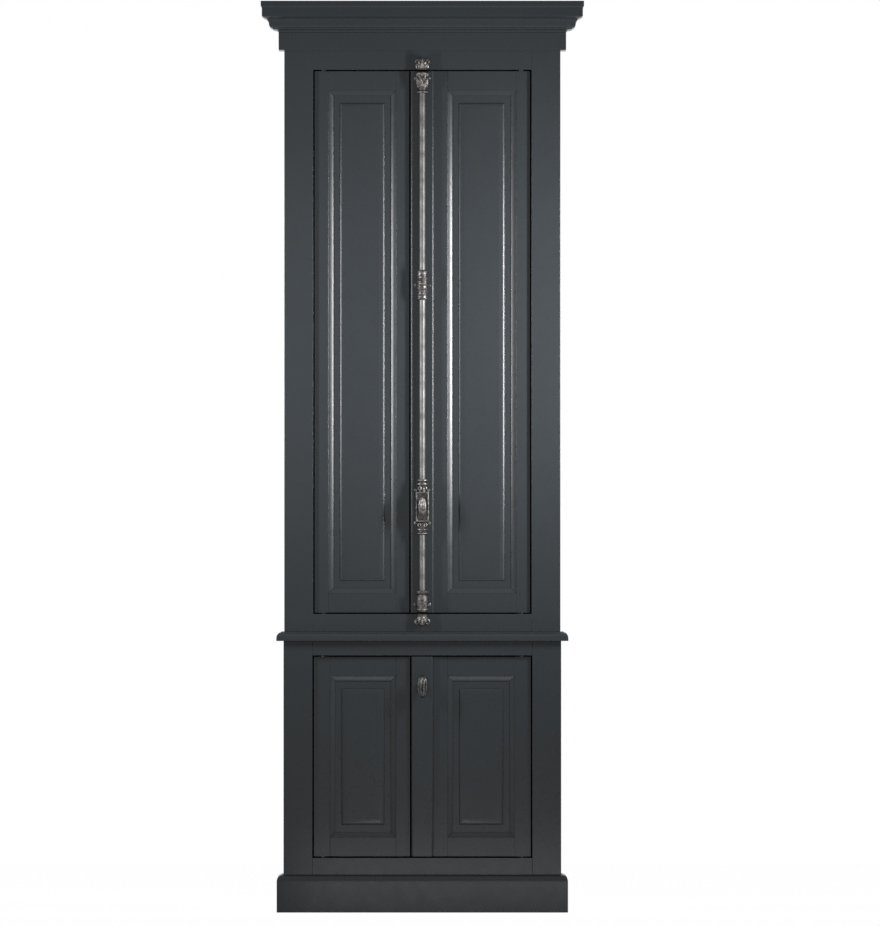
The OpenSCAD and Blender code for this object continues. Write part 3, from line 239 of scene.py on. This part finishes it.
def satin_paint(name, light, dark, along, rough_low, rough_high):
    """Brushed satin paint whose strokes run along one axis."""
    material, tree, shader = new_material(name)
    place = add_node(tree, "ShaderNodeTexCoord").outputs["Object"]
    per_metre = 1 / (BRISTLE_MM * MM)
    stroke = add_node(tree, "ShaderNodeMapping", {
        "Scale": [per_metre / STROKE_STRETCH if axis == along else per_metre for axis in "xyz"]},
        {"Vector": place})
    ridges = add_node(tree, "ShaderNodeTexNoise", {"Scale": 1.0, "Detail": 2.0},
                      {"Vector": stroke.outputs[0]})
    sag = add_node(tree, "ShaderNodeTexNoise", {"Scale": 1 / (SAG_MM * MM), "Detail": 1.0}, {"Vector": place})
    cloud = add_node(tree, "ShaderNodeTexNoise", {"Scale": 1 / (CLOUD_MM * MM), "Detail": 3.0},
                     {"Vector": place})
    tone = add_node(tree, "ShaderNodeMix", {"data_type": "RGBA", 6: linear(dark), 7: linear(light)},
                    {0: cloud.outputs["Fac"]})
    gloss = add_node(tree, "ShaderNodeMapRange", {"From Min": 0.3, "From Max": 0.7, "To Min": rough_low,
                                                  "To Max": rough_high}, {"Value": sag.outputs["Fac"]})
    wavy = add_node(tree, "ShaderNodeBump", {"Strength": 0.2, "Distance": SAG_DEPTH_MM * MM},
                    {"Height": sag.outputs["Fac"]})
    bump = add_node(tree, "ShaderNodeBump", {"Strength": 0.4, "Distance": RIDGE_MM * MM},
                    {"Height": ridges.outputs["Fac"], "Normal": wavy.outputs[0]})
    shader.inputs["Specular IOR Level"].default_value = PAINT_SHEEN
    tree.links.new(tone.outputs[2], shader.inputs["Base Color"])
    tree.links.new(gloss.outputs[0], shader.inputs["Roughness"])
    tree.links.new(bump.outputs[0], shader.inputs["Normal"])
    return material


PAINT_LIGHT, PAINT_DARK = "#262A2D", "#222629"
ROUGH_LOW, ROUGH_HIGH = 0.26, 0.31
upright_paint, level_paint, return_paint = (
    satin_paint("satin alkyd paint, laid off " + way, PAINT_LIGHT, PAINT_DARK, axis, ROUGH_LOW, ROUGH_HIGH)
    for way, axis in (("upright", "z"), ("level", "x"), ("along the sides", "y")))
inside_paint = satin_paint("flat eggshell paint inside", "#4A4F50", "#444A4B", "x", 0.55, 0.68)
print("paints:", [m.name for m in bpy.data.materials if "paint" in m.name])

# %% [markdown]
# The backs are painted on the inside and bare pine behind, where nobody looks. The growth rings are long
# streaks, so a noise is stretched along the grain and bent a little. The depth of a point, front to back,
# picks the paint or the pine.

# %% Saw the pine
RING_MM = 9
GRAIN_STRETCH = 22


def bare_pine(name, along, painted_to):
    """Planed pine with its grain along one axis, painted in front of a depth."""
    material, tree, shader = new_material(name)
    place = add_node(tree, "ShaderNodeTexCoord").outputs["Object"]
    per_metre = 1 / (RING_MM * MM)
    grain = add_node(tree, "ShaderNodeMapping", {
        "Scale": [per_metre / GRAIN_STRETCH if axis == along else per_metre for axis in "xyz"]},
        {"Vector": place})
    rings = add_node(tree, "ShaderNodeTexNoise", {"Scale": 1.0, "Detail": 5.0, "Distortion": 0.6},
                     {"Vector": grain.outputs[0]})
    ramp = add_node(tree, "ShaderNodeValToRGB", feeds={"Fac": rings.outputs["Fac"]})
    ramp.color_ramp.elements[0].position = 0.34
    ramp.color_ramp.elements[0].color = linear("#B98F5E")
    ramp.color_ramp.elements[1].position = 0.62
    ramp.color_ramp.elements[1].color = linear("#DDBD8C")
    bump = add_node(tree, "ShaderNodeBump", {"Strength": 0.3, "Distance": 0.1 * MM},
                    {"Height": rings.outputs["Fac"]})
    shader.inputs["Roughness"].default_value = 0.62
    depth = add_node(tree, "ShaderNodeSeparateXYZ", feeds={0: place}).outputs["Y"]
    behind = add_node(tree, "ShaderNodeMath", {"operation": "GREATER_THAN", 1: painted_to}, {0: depth})
    tone = add_node(tree, "ShaderNodeMix", {"data_type": "RGBA", 6: linear("#474C4D")},
                    {0: behind.outputs[0], 7: ramp.outputs[0]})
    tree.links.new(tone.outputs[2], shader.inputs["Base Color"])
    tree.links.new(bump.outputs[0], shader.inputs["Normal"])
    return material


back_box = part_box("lower_back")
back_pine = bare_pine("planed pine, painted inside", "z", (back_box[0][1] + back_box[1][1]) / 2)
print("pine:", back_pine.name)

# %% [markdown]
# The bolt is cast iron with an old pewter finish. Its rings, scrolls and knob are lighter, worn bright on the
# high spots and given a painted highlight as well. The guides are half worn. The case and keepers are darker,
# a painted shade. The lower knob is darker too, a painted shade for the weaker light low on the front. The
# rods are drawn bar with a soft shine, so their light spreads wide. The bushes are blackened steel and the
# shelf pins turned brass.

# %% Cast the metals
PIT_MM = 1.1
PATINA_MM = 7


def old_metal(name, bright, dull, rough_low, rough_high, pit_mm, patina_mm=PATINA_MM, pit_depth=0.06):
    """A cast or drawn metal with patches of patina and fine pits."""
    material, tree, shader = new_material(name)
    place = add_node(tree, "ShaderNodeTexCoord").outputs["Object"]
    patina = add_node(tree, "ShaderNodeTexNoise", {"Scale": 1 / (patina_mm * MM), "Detail": 4.0},
                      {"Vector": place})
    spread = add_node(tree, "ShaderNodeMapRange", {"From Min": 0.35, "From Max": 0.65},
                      {"Value": patina.outputs["Fac"]})
    tone = add_node(tree, "ShaderNodeMix", {"data_type": "RGBA", 6: linear(bright), 7: linear(dull)},
                    {0: spread.outputs[0]})
    gloss = add_node(tree, "ShaderNodeMapRange", {"To Min": rough_low, "To Max": rough_high},
                     {"Value": spread.outputs[0]})
    pits = add_node(tree, "ShaderNodeTexNoise", {"Scale": 1 / (pit_mm * MM), "Detail": 2.0},
                    {"Vector": place})
    bump = add_node(tree, "ShaderNodeBump", {"Strength": 0.5, "Distance": pit_depth * MM},
                    {"Height": pits.outputs["Fac"]})
    shader.inputs["Metallic"].default_value = 1.0
    tree.links.new(tone.outputs[2], shader.inputs["Base Color"])
    tree.links.new(gloss.outputs[0], shader.inputs["Roughness"])
    tree.links.new(bump.outputs[0], shader.inputs["Normal"])
    return material


# The lighter copy, for the rings, scrolls and knob: worn bright on the high spots, and a painted highlight
# too.
pewter = old_metal("cast iron, old pewter finish", "#747371", "#3A3837", 0.42, 0.56, PIT_MM)
cast_iron = old_metal("cast iron, half worn", "#615F5E", "#333030", 0.46, 0.6, PIT_MM)
# The darkest copy is a painted shade on the case and keeper plates.
plate_shade_iron = old_metal("cast iron, dull in the hollows", "#474645", "#282727", 0.46, 0.58, PIT_MM)
# A darker copy for the lower knob, a painted shade for the weaker light low on the front.
dark_iron = old_metal("cast iron, darkened by handling", "#555554", "#2E2E2E", 0.3, 0.42, PIT_MM)
drawn_rod = old_metal("drawn iron bar, dulled", "#626261", "#4E4E4D", 0.54, 0.62, 0.8, 30, 0.02)
blued_steel = old_metal("blackened steel", "#1E1F20", "#151617", 0.4, 0.55, 0.8)
brass = old_metal("turned brass", "#C9A45C", "#9C7B40", 0.2, 0.34, 0.6, 12, 0.02)
ferrite = old_metal("sintered magnet", "#4A4A4C", "#38383A", 0.5, 0.65, 0.5)
metals = (pewter, cast_iron, plate_shade_iron, dark_iron, drawn_rod, blued_steel, brass, ferrite)
print("metals:", [m.name for m in metals])

# %% [markdown]
# ## Joinery with eased arrises
# A drawn board has razor edges. A real one is rubbed with sandpaper before painting, and the round, less
# than a millimetre wide, catches a thin bright line. Each painted node is copied, its loose triangles are
# merged into plain faces, and a Bevel modifier rounds every sharp edge. The copy stands for the node.

# %% Ease the painted joinery
SMOOTH_ANGLE = math.radians(32)
MERGE_MM = 0.004
FLAT_ANGLE = math.radians(0.2)
FACE_WEIGHT = 80


def as_piece(name, shape, material, body):
    """Makes a mesh piece from a bmesh and lets it ride on a body."""
    mesh = bpy.data.meshes.new(name)
    shape.to_mesh(mesh)
    shape.free()
    mesh.shade_smooth()
    mesh.set_sharp_from_angle(angle=SMOOTH_ANGLE)
    mesh.materials.append(material)
    piece = bpy.data.objects.new(name, mesh)
    bpy.context.scene.collection.objects.link(piece)
    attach(piece, body)
    return piece


def merged_copy(node):
    """The node's solids as a bmesh with whole faces in place of loose triangles."""
    shape = bmesh.new()
    shape.from_mesh(frame["nodes"][node].data)
    bmesh.ops.remove_doubles(shape, verts=shape.verts, dist=MERGE_MM * MM)
    bmesh.ops.dissolve_limit(shape, angle_limit=FLAT_ANGLE, verts=shape.verts, edges=shape.edges)
    return shape


def ease(node, material, round_mm, segments=3):
    """A copy of the node with rounded arrises, which replaces it."""
    piece = as_piece(node + "_eased", merged_copy(node), material, body_of[node])
    bevel = piece.modifiers.new("arris", "BEVEL")
    bevel.width = round_mm * MM
    bevel.segments = segments
    bevel.limit_method = "ANGLE"
    bevel.angle_limit = SMOOTH_ANGLE
    bevel.use_clamp_overlap = False
    flat = piece.modifiers.new("flat faces", "WEIGHTED_NORMAL")
    flat.mode = "FACE_AREA"
    flat.weight = FACE_WEIGHT
    flat.keep_sharp = True
    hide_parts(node)
    return piece


UPRIGHT = ["lower_sides", "upper_sides", "lower_stiles", "upper_stiles", "upper_strip", "lower_strip"]
LEVEL = ["plinth_front", "waist_board", "frieze_front", "crown_front", "lower_rails", "upper_rails"]
ALONG_SIDES = ["plinth_returns", "frieze_returns", "crown_returns"]
for door in ("upper_left", "upper_right", "lower_left", "lower_right"):
    UPRIGHT += [door + "_stiles", door + "_panel"]
    LEVEL.append(door + "_rails")
ARRIS_MM = 0.9
for names, paint in ((UPRIGHT, upright_paint), (LEVEL, level_paint), (ALONG_SIDES, return_paint)):
    for name in names:
        ease(name, paint, ARRIS_MM)
print("eased pieces:", len(UPRIGHT + LEVEL + ALONG_SIDES))

# %% [markdown]
# Boards that the doors hide keep their CAD shape, with flat eggshell paint, which is cheaper than satin and
# hides the marks of what is stored on it.

# %% Finish the inside
def finish(nodes, material):
    """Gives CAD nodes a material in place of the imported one."""
    for name in nodes:
        mesh = frame["nodes"][name].data
        mesh.materials.clear()
        mesh.materials.append(material)


finish(["lower_bottom_board", "upper_bottom_board", "upper_top_board", "lower_shelf", "upper_shelves",
        "stop_battens"], inside_paint)
finish(["lower_back", "upper_back"], back_pine)
finish(["shelf_pins"], brass)
finish(["upper_pivot_bushes", "lower_pivot_bushes"], blued_steel)
finish(["catch_magnets"], ferrite)
METAL_STARTS = ("bolt_", "latch_", "keeper_", "catch_disc", "pivot_")
metal_nodes = [name for name in frame["nodes"] if name.startswith(METAL_STARTS)]
finish(metal_nodes, pewter)
print("metal nodes:", len(metal_nodes))

# %% [markdown]
# ## The bolt
# The rods are round bar. Copies of the turned guides, the case and the keepers get rounder edges, and the
# cast ornament is added in front of them: scrolls round the screws, acanthus leaves, a palmette on each
# keeper, and lobed olives for the knobs.

# %% Ease the bolt's castings
ROD_ARRIS_MM, CAST_ARRIS_MM, METAL_SEGMENTS = 0.5, 0.6, 2
GUIDES = ("bolt_guide_top", "bolt_guide_middle", "bolt_guide_bottom", "latch_rose")
PLATES = ("bolt_case", "bolt_keeper_top", "bolt_keeper_bottom")
# The case and keepers take the darkest copy, a painted shade.
for names, metal, round_mm in ((("bolt_rod_top", "bolt_rod_bottom"), drawn_rod, ROD_ARRIS_MM),
                               (GUIDES, cast_iron, CAST_ARRIS_MM), (PLATES, plate_shade_iron, CAST_ARRIS_MM)):
    for name in names:
        ease(name, metal, round_mm, METAL_SEGMENTS)

DOOR = body_of["bolt_case"]
rod_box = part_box("bolt_rod_top")
case_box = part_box("bolt_case")
strip_y = case_box[1][1]
case_z = (case_box[0][2] + case_box[1][2]) / 2
print("strip face at", round(strip_y, 4), "case centre at", round(case_z, 4))

# %% [markdown]
# Each knob is a gadrooned olive: plump lobes run from pole to pole with a narrow groove between them. A
# sphere is drawn out to the olive's size, and each point then moves towards the axis by how near it lies
# to a groove, and less near the poles, where the lobes die out.

# %% Shape the knobs
LOBES = 8
POINT_SHARE = 0.05
NECK_MM = 4.8
THROAT_MM = NECK_MM * 0.8


def lobed_knob(name, node, material, groove_share, collar_mm):
    """A lobed olive on a waisted neck, which replaces a knob node."""
    low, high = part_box(node)
    r = (high[0] - low[0]) / 2
    half = (high[2] - low[2]) / 2
    centre = Vector(((low[0] + high[0]) / 2, low[1] + r, (low[2] + high[2]) / 2))
    shape = bmesh.new()
    olive = bmesh.ops.create_uvsphere(shape, u_segments=LOBES * 10, v_segments=40, radius=1.0)["verts"]
    for v in olive:
        angle = math.atan2(v.co.y, v.co.x)
        lobe = abs(math.sin(LOBES * angle / 2)) ** 0.6
        fade = (1 - abs(v.co.z)) ** 0.3
        draw = (1 - groove_share * fade * (1 - lobe)) * (1 - POINT_SHARE * v.co.z ** 2)
        v.co.x *= draw * r
        v.co.y *= draw * r
        v.co.z *= half
    bmesh.ops.translate(shape, verts=olive, vec=centre)
    end = high[1] - centre.y
    steps = [(0.0, NECK_MM), (r - 1.5 * MM, NECK_MM), (r + 1.5 * MM, THROAT_MM), (r + 3.5 * MM, collar_mm),
             (r + 5.5 * MM, collar_mm), (r + 6.5 * MM, NECK_MM), (end, NECK_MM), (end, 0.0)]
    ring = [shape.verts.new((centre.x + radius * MM, centre.y + depth, centre.z)) for depth, radius in steps]
    edges = [shape.edges.new(pair) for pair in zip(ring, ring[1:])]
    bmesh.ops.spin(shape, geom=ring + edges, cent=centre, axis=(0, 1, 0), angle=2 * math.pi, steps=40,
                   use_merge=True)
    close_up(shape)
    piece = as_piece(name, shape, material, body_of[node])
    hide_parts(node)
    return piece


def close_up(shape):
    """Merges doubles, fills open ends and turns the faces outwards."""
    bmesh.ops.remove_doubles(shape, verts=shape.verts, dist=0.001 * MM)
    bmesh.ops.holes_fill(shape, edges=[e for e in shape.edges if e.is_boundary], sides=0)
    bmesh.ops.recalc_face_normals(shape, faces=shape.faces)


lobed_knob("bolt_knob_lobed", "bolt_knob", pewter, 0.24, 7.0)
# The lower knob takes the darker copy, a painted shade.
lobed_knob("latch_knob_lobed", "latch_knob", dark_iron, 0.26, 7.5)
print("knobs with", LOBES, "lobes each")

# %% [markdown]
# A scroll is a strip of metal that rolls up on itself. A small round section is spun by 18 degrees at a
# time about the scroll's eye. After each step it shrinks a little and moves a little nearer the eye, so
# the path is a spiral and the strip thins towards its end.

# %% Roll the scrolls
CURL_STEP_DEG = 18
CURL_TURNS = 1.3
CURL_END_SHARE = 0.42


def add_curl(shape, centre, outer, wire, side, turn_deg):
    """A scroll that faces the front; side is 1 or -1 for the hand it rolls to."""
    count = round(CURL_TURNS * 360 / CURL_STEP_DEG)
    shrink = CURL_END_SHARE ** (1 / count)
    rim = bmesh.ops.create_circle(shape, cap_ends=False, segments=8, radius=wire)["verts"]
    bmesh.ops.translate(shape, verts=rim, vec=centre + Vector((side * (outer - wire), 0, 0)))
    loop = list({e for v in rim for e in v.link_edges})
    made = list(rim)
    for _ in range(count):
        last = bmesh.ops.spin(shape, geom=rim + loop, cent=centre, axis=(0, side, 0),
                              angle=math.radians(CURL_STEP_DEG), steps=1)["geom_last"]
        rim = [g for g in last if isinstance(g, bmesh.types.BMVert)]
        loop = [g for g in last if isinstance(g, bmesh.types.BMEdge)]
        middle = sum((v.co for v in rim), Vector()) / len(rim)
        bmesh.ops.scale(shape, verts=rim, vec=(shrink, shrink, shrink), space=Matrix.Translation(-middle))
        bmesh.ops.translate(shape, verts=rim, vec=(centre - middle) * (1 - shrink))
        made += rim
    bmesh.ops.rotate(shape, verts=made, cent=centre,
                     matrix=Matrix.Rotation(math.radians(side * turn_deg), 3, "Y"))


def curl_pair(name, x, y, z, outer, wire, turn_deg):
    """Two scrolls, one at each side of the bolt's middle line."""
    shape = bmesh.new()
    for side in (-1, 1):
        add_curl(shape, Vector((side * x, y, z)), outer, wire, side, turn_deg)
    close_up(shape)
    return as_piece(name, shape, pewter, DOOR)


EAR_FRONT = strip_y - 6.4 * MM
EAR_X = 17.5 * MM
CASE_EAR_UP = 43.5 * MM
TOP_EAR_SHARE, LOW_EAR_SHARE = 0.7, 0.34
top_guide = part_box("bolt_guide_top")
low_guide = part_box("bolt_guide_bottom")
top_ear_z = top_guide[0][2] + TOP_EAR_SHARE * (top_guide[1][2] - top_guide[0][2])
low_ear_z = low_guide[0][2] + LOW_EAR_SHARE * (low_guide[1][2] - low_guide[0][2])
middle_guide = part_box("bolt_guide_middle")
middle_ear_z = (middle_guide[0][2] + middle_guide[1][2]) / 2
SCREW_CURL_R, SCREW_CURL_WIRE = 6.0 * MM, 1.8 * MM
for name, z, turn in (("case_scrolls_top", case_z + CASE_EAR_UP, 90),
                      ("case_scrolls_low", case_z - CASE_EAR_UP, -90),
                      ("top_guide_scrolls", top_ear_z, 60),
                      ("middle_guide_scrolls", middle_ear_z, 0),
                      ("low_guide_scrolls", low_ear_z, -60)):
    curl_pair(name, EAR_X, EAR_FRONT, z, SCREW_CURL_R, SCREW_CURL_WIRE, turn)
SHOULDER_X, SHOULDER_FRONT, SHOULDER_UP = 7.8 * MM, strip_y - 19.4 * MM, 48.5 * MM
SHOULDER_CURL_R, SHOULDER_CURL_WIRE, SHOULDER_TURN = 7.2 * MM, 2.1 * MM, 140
for name, up in (("case_shoulder_scrolls_top", 1), ("case_shoulder_scrolls_low", -1)):
    curl_pair(name, SHOULDER_X, SHOULDER_FRONT, case_z + up * SHOULDER_UP, SHOULDER_CURL_R,
              SHOULDER_CURL_WIRE, up * SHOULDER_TURN)
print("scrolls round the screws at", [round(v, 3) for v in (case_z + CASE_EAR_UP, top_ear_z, low_ear_z)])

# %% [markdown]
# The castings are dressed with small acanthus leaves. One leaf starts as a sphere. Its points are drawn
# out from the foot to a narrow tip, a groove is pressed along its middle, and the tip bends outwards. The
# leaf is then stood on its place by a matrix whose axes run across, through and along it.

# %% Shape a leaf
FOOT_SHARE, TAPER_SHARE = 1.15, 0.5
GROOVE_DEPTH, GROOVE_WIDTH = 0.3, 0.28


def add_leaf(shape, foot, tip, width, thick, out, bend=0.0):
    """A leaf from foot to tip whose face looks along out; all sizes in metres."""
    length = (tip - foot).length
    verts = bmesh.ops.create_uvsphere(shape, u_segments=14, v_segments=10, radius=1.0)["verts"]
    for v in verts:
        along = (v.co.z + 1) / 2
        across = v.co.x
        v.co.x *= width / 2 * (FOOT_SHARE - TAPER_SHARE * along)
        v.co.y *= thick / 2
        if v.co.y < 0:
            groove = math.exp(-(across / GROOVE_WIDTH) ** 2)
            v.co.y += GROOVE_DEPTH * thick * groove * math.sin(math.pi * along)
        v.co.y -= bend * along ** 2
        v.co.z = along * length
    z_axis = (tip - foot).normalized()
    x_axis = (-out).cross(z_axis).normalized()
    y_axis = z_axis.cross(x_axis)
    place = Matrix((x_axis, y_axis, z_axis)).transposed().to_4x4()
    place.translation = foot
    bmesh.ops.transform(shape, matrix=place, verts=verts)


ROD_Y = (rod_box[0][1] + rod_box[1][1]) / 2


def leaf_ring(name, base, z_foot, z_tip, r_foot, r_tip, count, width, thick, bend, reach_deg):
    """Leaves round the front of a guide; heights are above its base, and lengths are in mm."""
    shape = bmesh.new()
    for i in range(count):
        angle = math.radians(reach_deg * (2 * i / (count - 1) - 1))
        out = Vector((math.sin(angle), -math.cos(angle), 0))
        foot = Vector((0, ROD_Y, base + z_foot * MM)) + out * (r_foot * MM)
        tip = Vector((0, ROD_Y, base + z_tip * MM)) + out * (r_tip * MM)
        add_leaf(shape, foot, tip, width * MM, thick * MM, out, bend * MM)
    close_up(shape)
    return as_piece(name, shape, cast_iron, DOOR)


print("rod axis at y", round(ROD_Y, 4))

# %% [markdown]
# The top guide is a bell of upright leaves with a second ring between them and a cap of small ones. The
# bottom guide is an urn whose five broad, flat leaves hang.

# %% Dress the guides
tz = top_guide[0][2]
bz = low_guide[0][2]
LEAF_RINGS = (("top_guide_leaves", tz, 14, 47, 12.0, 15.6, 6, 8.5, 4.6, 2.4, 92),
              ("top_guide_leaves_between", tz, 14, 37, 13.2, 15.4, 5, 6.0, 3.2, 1.2, 74),
              ("top_guide_cap_leaves", tz, 44, 56, 16.4, 15.6, 7, 6.5, 3.6, 0.6, 88),
              ("low_guide_leaves", bz, 43, 12, 13.6, 14.8, 5, 13, 2.6, 0.6, 90))
for row in LEAF_RINGS:
    leaf_ring(*row)
print("rings of leaves on the guides:", len(LEAF_RINGS))

# %% [markdown]
# Rings finish the necks: a small round section is spun once about the rod. The case's plate has a raised
# border. A flat plate is inset, its middle is taken out, the frame that stays is made thick, and all its
# edges are rounded.

# %% Turn the rings and frame the plate
RING_SIDES, RING_STEPS = 14, 48


def neck_ring(name, z, outer, tube):
    """A round ring about the rod's axis."""
    shape = bmesh.new()
    rim = bmesh.ops.create_circle(shape, segments=RING_SIDES, radius=tube)["verts"]
    bmesh.ops.rotate(shape, verts=rim, cent=(0, 0, 0), matrix=Matrix.Rotation(math.radians(90), 3, "X"))
    bmesh.ops.translate(shape, verts=rim, vec=(outer - tube, ROD_Y, z))
    bmesh.ops.spin(shape, geom=rim + shape.edges[:], cent=(0, ROD_Y, z), axis=(0, 0, 1), angle=2 * math.pi,
                   steps=RING_STEPS, use_merge=True)
    close_up(shape)
    return as_piece(name, shape, pewter, DOOR)


NECK_RINGS = (("case_ring_top", case_z + 70 * MM, 15.6, 2.7),
              ("case_ring_low", case_z - 70 * MM, 15.6, 2.7),
              ("case_ring_upper", case_z + 60 * MM, 15.2, 3.4),
              ("case_ring_lower", case_z - 60 * MM, 15.2, 3.4),
              ("top_guide_ring", tz + 4 * MM, 16.2, 3.4),
              ("low_guide_ring", bz + 6 * MM, 15.6, 3.2),
              ("low_guide_top_ring", bz + 50.5 * MM, 17.6, 3.4))
for name, z, outer, tube in NECK_RINGS:
    neck_ring(name, z, outer * MM, tube * MM)

BORDER_HALF_W, BORDER_HALF_H = 17 * MM, 39 * MM
BORDER_W, BORDER_PROUD, BORDER_SUNK, BORDER_ROUND = 3.6 * MM, 2.0 * MM, 1.5 * MM, 1.2 * MM


def plate_border(name, node):
    """A raised border round the case's front plate."""
    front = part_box(node)[0][1]
    shape = bmesh.new()
    made = bmesh.ops.create_grid(shape, x_segments=1, y_segments=1, size=1.0)["verts"]
    bmesh.ops.scale(shape, verts=made, vec=(BORDER_HALF_W, BORDER_HALF_H, 1))
    bmesh.ops.rotate(shape, verts=made, cent=(0, 0, 0), matrix=Matrix.Rotation(math.radians(90), 3, "X"))
    bmesh.ops.translate(shape, verts=made, vec=(0, front - BORDER_PROUD, case_z))
    middle = shape.faces[:]
    bmesh.ops.inset_region(shape, faces=middle, thickness=BORDER_W, use_even_offset=True, use_boundary=True)
    bmesh.ops.delete(shape, geom=middle, context="FACES_ONLY")
    bmesh.ops.solidify(shape, geom=shape.faces[:], thickness=BORDER_PROUD + BORDER_SUNK)
    bmesh.ops.recalc_face_normals(shape, faces=shape.faces)
    bmesh.ops.bevel(shape, geom=shape.edges[:], offset=BORDER_ROUND, segments=3, profile=0.5, affect="EDGES",
                    material=-1)
    return as_piece(name, shape, pewter, DOOR)


plate_border("case_border", "bolt_case")
print("neck rings:", len(NECK_RINGS), "and the plate's border")

# %% [markdown]
# Each keeper carries a palmette: five leaves that fan from the mouth over the hood, two scrolls that meet
# below them, and a large scroll at each side that reaches over the screw. The top one has a leaf at each
# side as well.

# %% Dress the keepers
FAN = ((-52, 17, 6), (52, 17, 6), (-27, 22, 6.5), (27, 22, 6.5), (0, 26, 7.5))
FRONTWARD = Vector((0, -1, 0))
SMALL_CURL, LARGE_CURL = (6.2 * MM, 1.9 * MM), (9.6 * MM, 3.0 * MM)
SMALL_TURN, LARGE_TURN = 100, 90


def palmette(name, node, up, winged):
    """Leaves and scrolls on a keeper; up is 1 for the top keeper and -1 for the bottom one."""
    low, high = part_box(node)
    mouth = low[2] if up > 0 else high[2]
    front = low[1]
    shape = bmesh.new()
    for lean, length, width in FAN:
        angle = math.radians(lean)
        foot = Vector((math.sin(angle) * 2 * MM, front + 0.6 * MM, mouth + up * 3.5 * MM))
        back = 2.6 * MM * abs(math.sin(angle))
        tip = foot + Vector((math.sin(angle) * length * MM, back, up * math.cos(angle) * length * MM))
        add_leaf(shape, foot, tip, width * MM, 4.4 * MM, FRONTWARD, 0.8 * MM)
    for side in (-1, 1):
        small_eye = Vector((side * 6.8 * MM, front + 0.4 * MM, mouth + up * 8 * MM))
        add_curl(shape, small_eye, *SMALL_CURL, side, -up * SMALL_TURN)
        large_eye = Vector((side * 13.2 * MM, EAR_FRONT - 8 * MM, mouth + up * 21 * MM))
        add_curl(shape, large_eye, *LARGE_CURL, side, up * LARGE_TURN)
        if winged:
            foot = Vector((side * 13 * MM, front + 7 * MM, mouth + up * 1.5 * MM))
            tip = foot + Vector((side * 2 * MM, 0, up * 18 * MM))
            add_leaf(shape, foot, tip, 8 * MM, 7 * MM, FRONTWARD)
    close_up(shape)
    return as_piece(name, shape, pewter, body_of[node])


palmette("keeper_palmette_top", "bolt_keeper_top", 1, True)
palmette("keeper_palmette_low", "bolt_keeper_bottom", -1, False)
print("palmettes on the keepers")

# %% [markdown]
# ## The view
# The view transform is Standard, so a colour renders as it is written.

# %% Finish
bpy.context.scene.view_settings.view_transform = "Standard"
